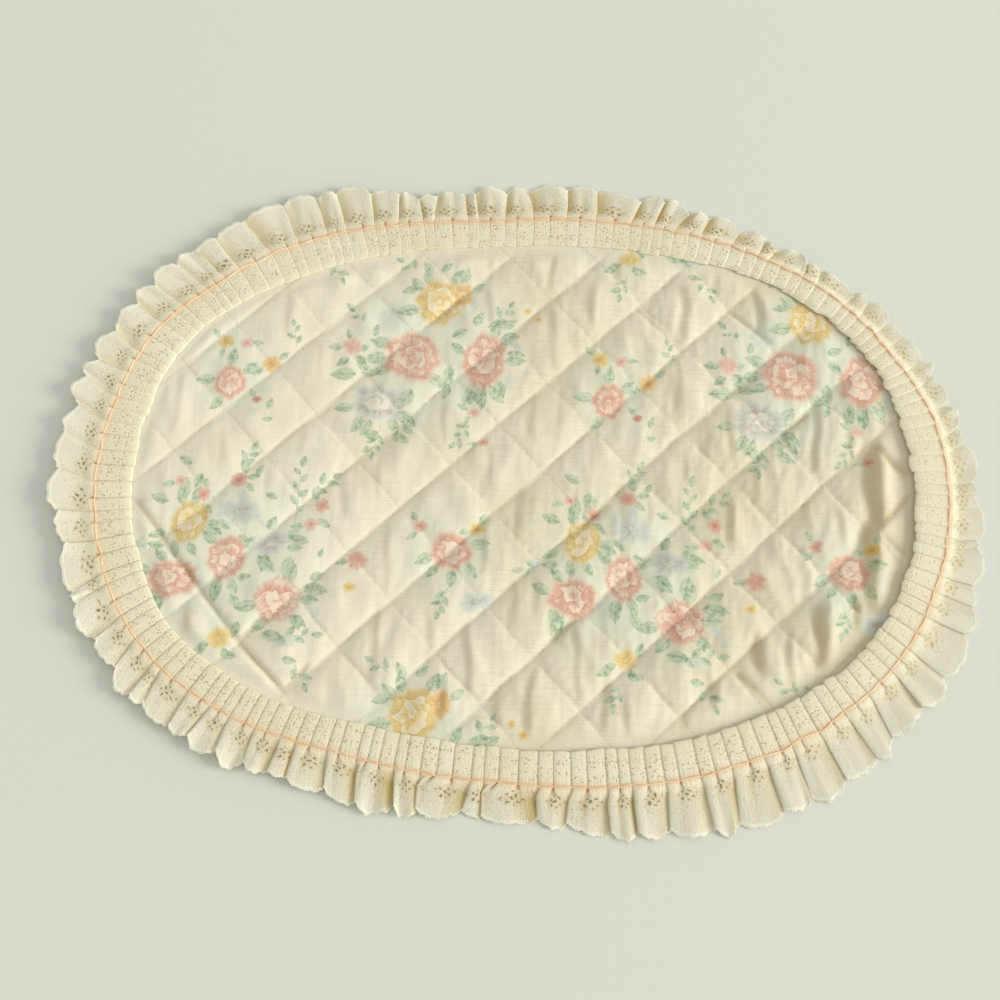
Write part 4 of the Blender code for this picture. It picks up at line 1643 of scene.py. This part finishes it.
# Each row: a share of the pleat's cloth, then how far through the pleat it lies and how high, first
# pressed in the header, then open in the ruffle, then lapped over its neighbour.
PLEAT = (
    (0.00, 0.00, 0.30, 0.00, 0.03, 0.00, 0.04), (0.05, 0.06, 0.46, 0.05, 0.07, 0.05, 0.08),
    (0.10, 0.12, 0.60, 0.10, 0.17, 0.10, 0.16), (0.16, 0.20, 0.72, 0.16, 0.34, 0.17, 0.30),
    (0.23, 0.30, 0.82, 0.24, 0.58, 0.27, 0.50), (0.30, 0.41, 0.90, 0.33, 0.78, 0.38, 0.68),
    (0.38, 0.53, 0.96, 0.44, 0.91, 0.51, 0.82), (0.46, 0.66, 1.00, 0.56, 0.98, 0.65, 0.92),
    (0.54, 0.79, 1.00, 0.68, 1.00, 0.80, 0.98), (0.61, 0.91, 0.97, 0.80, 0.98, 0.93, 1.00),
    (0.67, 1.00, 0.88, 0.89, 0.91, 1.04, 0.96), (0.72, 1.05, 0.74, 0.95, 0.77, 1.12, 0.86),
    (0.77, 1.04, 0.58, 0.98, 0.56, 1.13, 0.68), (0.83, 0.98, 0.42, 0.98, 0.30, 1.07, 0.42),
    (0.89, 0.92, 0.31, 0.98, 0.12, 1.00, 0.20), (0.95, 0.93, 0.27, 0.99, 0.04, 0.98, 0.08),
)

# Each row: a place across the strip, from -1 at the header's edge over 0 on the thread to 1 at the
# scallops, the creases' height and the crests' height over them in millimetres, and how far the
# pleats open.
ACROSS = (
    (-1.00, 2.05, 0.40, 0.0), (-0.96, 2.26, 0.70, 0.0), (-0.80, 2.56, 0.90, 0.0),
    (-0.42, 2.66, 1.00, 0.0), (-0.12, 2.84, 0.85, 0.0), (0.00, 3.00, 0.62, 0.08),
    (0.07, 2.62, 1.30, 0.28), (0.16, 1.95, 2.10, 0.58), (0.26, 1.30, 2.55, 0.85),
    (0.38, 0.75, 2.80, 1.0), (0.52, 0.50, 2.80, 1.0), (0.66, 0.40, 2.65, 1.0), (0.79, 0.40, 2.50, 1.0),
    (0.89, 0.40, 2.35, 1.0), (0.96, 0.40, 2.20, 1.0), (1.00, 0.42, 2.05, 1.0),
)


@dataclass(frozen=True)
class GatheredLace:
    """One strip of scalloped lace, pleated as a header on the rim and open as a ruffle outside it.

    PLEAT is the path of the cloth through one pleat: for a share of the pleat's cloth, how far
    through the pleat it lies and how high, first pressed in the header, then open and lapped over
    its neighbour in the ruffle. There, one to three pleats join to a lobe. ACROSS is the strip from
    the header's edge to the scallops. The calm values say how much flatter the folds lie on each
    side of the mat, and every lobe's rim is cut in small scallops.
    """

    pleats: int = 160
    unevenness: float = 0.34
    seed: int = 19
    faded_creases: tuple[float, float, float] = (0.74, 0.12, 0.0)
    most_singles: int = 1
    faded_groove: float = 0.60
    pleat_cloth: float = 12.0 * MM
    strip_width: float = 42.0 * MM
    thickness: float = 0.34 * MM
    picot_flatness: float = 0.8
    left_rise: float = 5.2 * MM
    scallop_depth: float = 4.4 * MM
    reach_jitter: float = 1.8 * MM
    header_wave: float = 0.5 * MM
    header_arch: float = 0.35 * MM
    slant: float = 0.46
    flutter: float = 0.80 * MM
    lowest: float = 0.28 * MM
    raggedness: float = 0.22 * MM
    calm_right: float = 0.70
    calm_left: float = 0.62
    calm_top: float = 0.30
    calm_bottom: float = 0.28
    calm_header: float = 0.70
    faint_header: float = 0.55
    small_scallop: float = 4.8 * MM
    small_depth: float = 1.05 * MM
    picot_pitch: float = 1.65 * MM
    picot_radius: float = 0.50 * MM
    cord_radius: float = 0.24 * MM

    def smooth_chance(self, chance: np.random.Generator, reach: int) -> Array:
        """Chance values round the mat, from -1 to 1, alike for pleats that lie near each other.

        Args:
            chance: Where chance values come from.
            reach: How many pleats to each side are alike.

        Returns:
            A value for each pleat.
        """
        rough = chance.standard_normal(self.pleats)
        spread = np.exp(-0.5 * (np.arange(-3 * reach, 3 * reach + 1) / reach) ** 2)
        smooth = np.convolve(np.tile(rough, 3), spread / np.sqrt((spread ** 2).sum()), "same")
        return np.clip(smooth[self.pleats:2 * self.pleats] / 1.6, -1.0, 1.0)

    def lobes(self, chance: np.random.Generator) -> tuple[Array, Array, Array]:
        """Let some creases fade out in the ruffle, which joins pleats to wider lobes.

        Args:
            chance: Where chance values come from.

        Returns:
            For every pleat: whether its crease fades, its lobe's first pleat, and its lobe's length.
        """
        faded = np.zeros(self.pleats)
        run = singles = 0
        for pleat in range(1, self.pleats):
            likely = 1.0 if run == 0 and singles >= self.most_singles else self.faded_creases[run]
            if chance.random() < likely:
                run, singles = run + 1, 0
            else:
                singles += int(run == 0)
                run = 0
            faded[pleat] = float(run > 0)
        firsts = np.flatnonzero(faded == 0.0)
        lengths = np.diff(np.append(firsts, self.pleats))
        return faded, np.repeat(firsts, lengths), np.repeat(lengths, lengths)

    def lay(self) -> dict[str, Array]:
        """Lay the whole strip.

        Returns:
            Arrays of samples along the strip by rows across it: "points", "cloth" in scallops,
            "outward", "crease" and "rim", and the pleats' "starts" and "widths" as shares of the
            way round.
        """
        chance = np.random.default_rng(self.seed)
        widths = 1.0 + self.unevenness * (2.0 * chance.random(self.pleats) - 1.0)
        starts = np.concatenate(([0.0], np.cumsum(widths)))[:-1] / widths.sum()
        widths = widths / widths.sum()
        crests = 0.58 + 0.42 * chance.random(self.pleats)
        faded, firsts, lengths = self.lobes(chance)
        slants = self.slant * (self.smooth_chance(chance, 5) + 0.8 * chance.uniform(-1, 1, self.pleats))
        lapped = np.clip(0.12 + 0.62 * self.smooth_chance(chance, 3), 0.0, 1.0)
        depths = self.scallop_depth * chance.uniform(0.45, 1.25, self.pleats)
        tints = chance.uniform(0.55, 1.0, self.pleats)
        grooves = self.faded_groove * chance.uniform(0.4, 1.0, self.pleats)
        jitters = chance.uniform(-1.0, 1.0, self.pleats) * self.reach_jitter

        table = np.array(PLEAT)
        pleat = np.repeat(np.arange(self.pleats), len(table))
        cloth, header_shift, header_rise = (np.tile(column, self.pleats) for column in table.T[:3])
        first, length = firsts[pleat], lengths[pleat]
        through = (pleat - first + cloth) / length

        def carry(values: Array) -> Array:
            """Lead values set at the lobes' creases smoothly to the next lobe's crease."""
            after = values[(first + length) % self.pleats]
            return values[first] + (after - values[first]) * smooth_step(0.10, 0.72, through)

        open_shift, open_rise, lapped_shift, lapped_rise = (
            np.interp(through, table[:, 0], column) for column in table.T[3:])
        lap = carry(lapped)
        ruffle_shift = first + length * (open_shift + lap * (lapped_shift - open_shift))
        ruffle_rise = (open_rise + lap * (lapped_rise - open_rise)) * carry(crests)
        slant, jitter, tint = carry(slants), carry(jitters), carry(tints)
        strip = (pleat + cloth) * self.pleat_cloth
        numbers = np.cumsum(faded == 0.0) - 1.0
        scallop = 3.0 * numbers[pleat] + 0.5 + (through - 0.36) * length * 0.75
        shown = np.where(through < 0.74, np.minimum(open_shift / 0.96, 1.0), 1.0)
        arc = depths[first] * np.interp(length, (1, 2, 3), (0.45, 1.0, 1.1))
        arc = arc * (1.0 - np.abs(2.0 * shown - 1.0) ** 2.0)
        fold_line = np.maximum(1.0 - smooth_step(0.0, 0.16, cloth), smooth_step(0.68, 0.84, cloth))
        from_crease = np.minimum(cloth, 1.0 - cloth)
        at_faded = np.where(cloth < 0.5, faded[pleat], faded[(pleat + 1) % self.pleats])
        groove = at_faded * np.exp(-((from_crease / 0.17) ** 2)) * carry(grooves)
        arched = 1.0 - (2.0 * np.minimum(cloth / 0.7, 1.0) - 1.0) ** 2
        waved = ripple(strip, np.zeros_like(strip), 13.0 * MM, 43)
        small = np.abs(np.sin(math.pi * strip / self.small_scallop)) ** 0.7
        rough = ripple(strip, np.zeros_like(strip), 3.4 * MM, 37)
        places = np.concatenate((starts[-4:] - 1.0, starts, starts[:4] + 1.0))

        columns: dict[str, list[Array]] = {name: [] for name in
                                           ("points", "cloth", "outward", "crease", "rim")}
        for across, floor, rise, opened in ACROSS:
            beyond = max(0.0, across)
            passed = pleat + header_shift
            passed = passed + opened * (ruffle_shift - passed) + slant * beyond ** 1.2
            share = 1.0 - np.interp(passed, np.arange(-4, self.pleats + 4), places)
            direction = OVAL.direction(share)
            facing = np.cos(np.radians(direction))
            to_left = np.maximum(0.0, -facing)
            level = np.sin(np.radians(direction))
            sideways = np.where(facing > 0.0, self.calm_right, self.calm_left)
            upright = np.where(level > 0.0, self.calm_top, self.calm_bottom)
            soft = 1.0 - opened * facing ** 2 * sideways
            calm = soft - opened * level ** 2 * upright
            calm = calm - self.calm_header * (1.0 - opened) * np.maximum(0.0, level) ** 2
            if across < 0.0:
                wavy = self.header_wave * (0.3 + np.maximum(0.0, facing)) * waved
                width = OVAL.edge("header", direction) * MM + 0.4 * jitter + wavy
                outward = across * (width + self.header_arch * arched * abs(across) ** 9)
            else:
                reach = OVAL.edge("reach", direction) * MM + jitter - self.scallop_depth
                outward = (across * reach + arc * (1.0 + 0.35 * to_left) * across ** 1.5
                           + across ** 5 * (self.small_depth * (small - 0.6) + self.raggedness * rough))
            freedom = self.flutter * beyond ** 2
            flutter = freedom * ripple(strip, np.full_like(strip, 9.0 * across * MM), 8.0 * MM, 23)
            curl = freedom * ripple(strip, np.zeros_like(strip), 11.0 * MM, 29)
            x, y = OVAL.place(share, outward + 0.4 * flutter)
            lasting = max(0.0, 1.0 - 0.75 * beyond)
            lifted = header_rise + opened * (ruffle_rise * (1.0 - groove * lasting) - header_rise)
            raised = self.left_rise * to_left ** 1.3 * beyond ** 0.8
            z = ((floor + rise * lifted * calm) * MM + np.clip(lifted * 3.0, 0.0, 1.0) * curl + raised
                 + max(0.0, -across) * OVAL.edge("lift", direction) * MM)
            from_header = fold_line * max(0.0, 1.0 - beyond / 0.36)
            furrow = 1.5 * opened * np.maximum(groove * lasting, 0.0)
            pinched = 1.0 - beyond
            valley = np.maximum(1.0 - smooth_step(0.03, 0.46 + 0.22 * pinched, through),
                                smooth_step(0.66 - 0.08 * pinched, 0.82, through))
            # The crease value also sets how strongly shade and crest highlight are painted: it varies
            # per lobe with tint, and is weaker where the folds are flattened and on the header's right
            # side.
            crease = np.maximum(np.maximum(from_header, furrow), opened * tint * valley)
            faint = 1.0 - self.faint_header * (1.0 - opened) * np.maximum(0.0, facing) ** 3
            row = (np.stack((x, y, np.maximum(z, self.lowest)), axis=-1), scallop, outward,
                   crease * soft ** 1.2 * faint, np.full_like(outward, beyond))
            for column, values in zip(columns.values(), row):
                column.append(values)
        laid = {name: np.stack(rows, axis=1) for name, rows in columns.items()}
        return laid | {"starts": starts, "widths": widths, "scallops": 3.0 * (numbers[-1] + 1.0)}

    def mesh(self, laid: dict[str, Array]) -> bpy.types.Mesh:
        """Join the samples into a sheet and give it its thickness and its own coordinates.

        Args:
            laid: The lace as it was laid.

        Returns:
            The sheet's mesh.
        """
        points = laid["points"]
        count, rows, _ = points.shape
        number = np.arange(count * rows).reshape(count, rows)
        after = np.roll(number, -1, axis=0)
        faces = np.stack((number[:, :-1], after[:, :-1], after[:, 1:], number[:, 1:]),
                         axis=-1).reshape(-1, 4)
        mesh = bpy.data.meshes.new("eyelet_lace")
        mesh.from_pydata(points.reshape(-1, 3).tolist(), [], faces.tolist())
        corners = faces.ravel()
        cloth = laid["cloth"].ravel()[corners]
        last = np.repeat(np.arange(len(faces)) // (rows - 1) == count - 1, 4)
        cloth = np.where(last & (cloth < 3.0), cloth + laid["scallops"], cloth)
        layer = mesh.uv_layers.new(name="cloth")
        places = np.stack((cloth, laid["outward"].ravel()[corners] / (10.0 * MM)), axis=-1)
        layer.uv.foreach_set("vector", places.astype(np.float32).ravel())
        for name in ("crease", "rim"):
            keep(mesh, name, laid[name])
        mesh.shade_smooth()
        return mesh

    def picots(self, edge: Array, material: bpy.types.Material) -> bpy.types.Mesh:
        """Cord the scalloped edge and set small picots along it.

        Args:
            edge: The points along the scalloped edge.
            material: What they are made of.

        Returns:
            Their mesh.
        """
        edging = Repeat("scallop_picots", {
            "Picot Pitch": self.picot_pitch, "Picot Radius": self.picot_radius,
            "Cord Radius": self.cord_radius})
        sizes = edging.inputs
        flat = sizes["Picot Radius"] * self.picot_flatness
        half = edging.graph.join(flat, sizes["Picot Radius"], flat)
        beads = edging.beads(sizes["Picot Pitch"], half, 5, 4)
        cord = edging.tube(sizes["Cord Radius"], 5)
        return edging.finish([beads, cord], guide_mesh("scallop_edge", [edge], True), material)

    def build(self) -> dict[str, Array]:
        """Make the strip and its edging.

        Returns:
            The lace as it was laid.
        """
        laid = self.lay()
        lace_finish = EyeletLace().make()
        lace = add_piece("eyelet_lace", self.mesh(laid), (lace_finish,), ("lace_trim",))
        solid = lace.modifiers.new("cloth_thickness", "SOLIDIFY")
        solid.thickness = self.thickness
        solid.offset = 0.0
        edging = SpunThread("edging_thread", paint(246, 242, 222), paint(236, 228, 196)).make()
        picots = add_piece("scallop_picots", self.picots(laid["points"][:, -1, :], edging),
                           (edging,))
        return laid


# THE GATHERING THREAD


@dataclass(frozen=True)
class GatheringThread:
    """Two twisted plies of peach thread, which ride over the pleats and dip between them."""

    points: int = 3600
    ply_radius: float = 0.27 * MM
    ply_spread: float = 0.85
    twist_pitch: float = 2.2 * MM
    wander: float = 0.45 * MM
    over_crests: float = 3.86 * MM
    dip: float = 0.50 * MM

    def path(self, laid: dict[str, Array]) -> tuple[Array, Array, Array]:
        """Where the thread runs round the mat.

        Args:
            laid: The lace as it was laid.

        Returns:
            The x, y and z of its points.
        """
        share = np.arange(self.points) / self.points
        starts, widths = laid["starts"], laid["widths"]
        pleat = np.clip(np.searchsorted(starts, share, side="right") - 1, 0, len(starts) - 1)
        through = (share - starts[pleat]) / widths[pleat]
        sunk = np.abs(np.cos(math.pi * through)) ** 6.0
        length = share * 2.0 * math.pi
        outward = self.wander * ripple(np.cos(length) * 0.2, np.sin(length) * 0.2, 14.0 * MM, 31)
        x, y = OVAL.place(1.0 - share, outward)
        return x, y, self.over_crests - self.dip * sunk

    def build(self, laid: dict[str, Array]) -> None:
        """Twist the plies round the path and put them on the mat.

        Args:
            laid: The lace as it was laid.
        """
        x, y, z = self.path(laid)
        run = np.cumsum(np.hypot(x - np.roll(x, 1), y - np.roll(y, 1)))
        turns = round(float(run[-1]) / self.twist_pitch)
        slope_x, slope_y = OVAL.slope(x - OVAL.middle[0], y - OVAL.middle[1])
        steepness = np.hypot(slope_x, slope_y)
        plies = []
        for ply in (0.0, math.pi):
            turn = 2.0 * math.pi * turns * run / run[-1] + ply
            side = np.cos(turn) * self.ply_radius * self.ply_spread
            plies.append(np.stack((x + side * slope_x / steepness, y + side * slope_y / steepness,
                                   z + np.sin(turn) * self.ply_radius * self.ply_spread), axis=1))
        spinning = Repeat("gathering_plies", {"Ply Radius": self.ply_radius})
        tube = spinning.tube(spinning.inputs["Ply Radius"], 6)
        finish = SpunThread("peach_thread", paint(248, 226, 194), paint(240, 200, 156)).make()
        mesh = spinning.finish([tube], guide_mesh("gathering_path", plies, True), finish)
        add_piece("gathering_plies", mesh, (finish,), ("gathering_thread",))


# TABLE, LIGHT AND CAMERA


@dataclass(frozen=True)
class Studio:
    """The pale table, the soft window light from the right, and the camera of the photograph."""

    table_half: float = 3.0
    table_colour: Colour = paint(224, 226, 216)
    table_roughness: float = 0.85
    table_shine: float = 0.25
    grain_depth: float = 0.1 * MM
    lens: float = 46.8
    sensor_width: float = 36.0
    clip_start: float = 0.01
    elevation: float = math.radians(70.62)
    azimuth: float = math.radians(2.23)
    distance: float = 0.6987
    target: tuple[float, float, float] = (-9.4 * MM, -11.0 * MM, 0.0)
    key_azimuth: float = math.radians(-8.0)
    key_elevation: float = math.radians(19.0)
    key_distance: float = 12.0
    key_size: float = 5.4
    key_power: float = 1230.0
    key_colour: Colour = (1.0, 0.985, 0.955)
    sky_strength: float = 0.67
    sky_colour: Colour = (1.0, 1.0, 0.97)

    def table(self) -> None:
        """Lay the table under the mat."""
        half = self.table_half
        mesh = bpy.data.meshes.new("table_top")
        points = [(x * half, y * half, 0.0) for x, y in ((-1, -1), (1, -1), (1, 1), (-1, 1))]
        mesh.from_pydata(points, [], [(0, 1, 2, 3)])
        material, graph, shader = new_material("table_top", self.table_roughness)
        grain = graph.noise(graph.wires("ShaderNodeTexCoord")["Object"], 420.0, 3.0)
        shader.inputs["Base Color"].default_value = (*self.table_colour, 1.0)
        shader.inputs["Specular IOR Level"].default_value = self.table_shine
        graph.put(shader.inputs["Normal"], graph.bump(grain, self.grain_depth, 0.15))
        mesh.materials.append(material)
        add_object("table_top", mesh)

    def aim(self, item: bpy.types.Object, azimuth: float, elevation: float, distance: float,
            target: Sequence[float]) -> None:
        """Place a light or camera that looks at a target.

        Args:
            item: The light or camera.
            azimuth: Where it stands, from +X towards +Y.
            elevation: How high over the table it stands, as an angle.
            distance: How far from the target it stands.
            target: The point that it looks at.
        """
        back = Vector((math.cos(azimuth) * math.cos(elevation),
                       math.sin(azimuth) * math.cos(elevation), math.sin(elevation)))
        right = Vector((0.0, 0.0, 1.0)).cross(back).normalized()
        turn = Matrix((right, back.cross(right), back)).transposed()
        item.matrix_world = Matrix.Translation(Vector(target) + back * distance) @ turn.to_4x4()

    def light(self) -> None:
        """Set the window light and the fill from all round."""
        lamp = bpy.data.lights.new("window", "AREA")
        lamp.shape = "DISK"
        lamp.size = self.key_size
        lamp.energy = self.key_power
        lamp.color = self.key_colour
        window = add_object("window", lamp)
        self.aim(window, self.key_azimuth, self.key_elevation, self.key_distance, (0.0, 0.0, 0.0))
        world = bpy.data.worlds.new("room")
        world.use_nodes = True
        sky = world.node_tree.nodes["Background"]
        sky.inputs["Color"].default_value = (*self.sky_colour, 1.0)
        sky.inputs["Strength"].default_value = self.sky_strength
        bpy.context.scene.world = world

    def camera(self) -> None:
        """Set the camera where the photograph was taken from."""
        lens = bpy.data.cameras.new("camera")
        lens.lens = self.lens
        lens.sensor_width = self.sensor_width
        lens.clip_start = self.clip_start
        camera = add_object("camera", lens)
        self.aim(camera, self.azimuth - math.pi / 2.0, self.elevation, self.distance, self.target)
        bpy.context.scene.camera = camera

    def build(self) -> None:
        """Set the table, the light and the camera."""
        self.table()
        self.light()
        self.camera()
        bpy.context.scene.view_settings.view_transform = "Standard"


def main() -> None:
    """Build the placemat and its studio."""
    logging.basicConfig(level=logging.INFO, format="%(name)s: %(message)s")
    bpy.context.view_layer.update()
    Studio().build()
    QuiltedPanel().build()
    laid = GatheredLace().build()
    GatheringThread().build(laid)


if __name__ == "__main__":
    main()
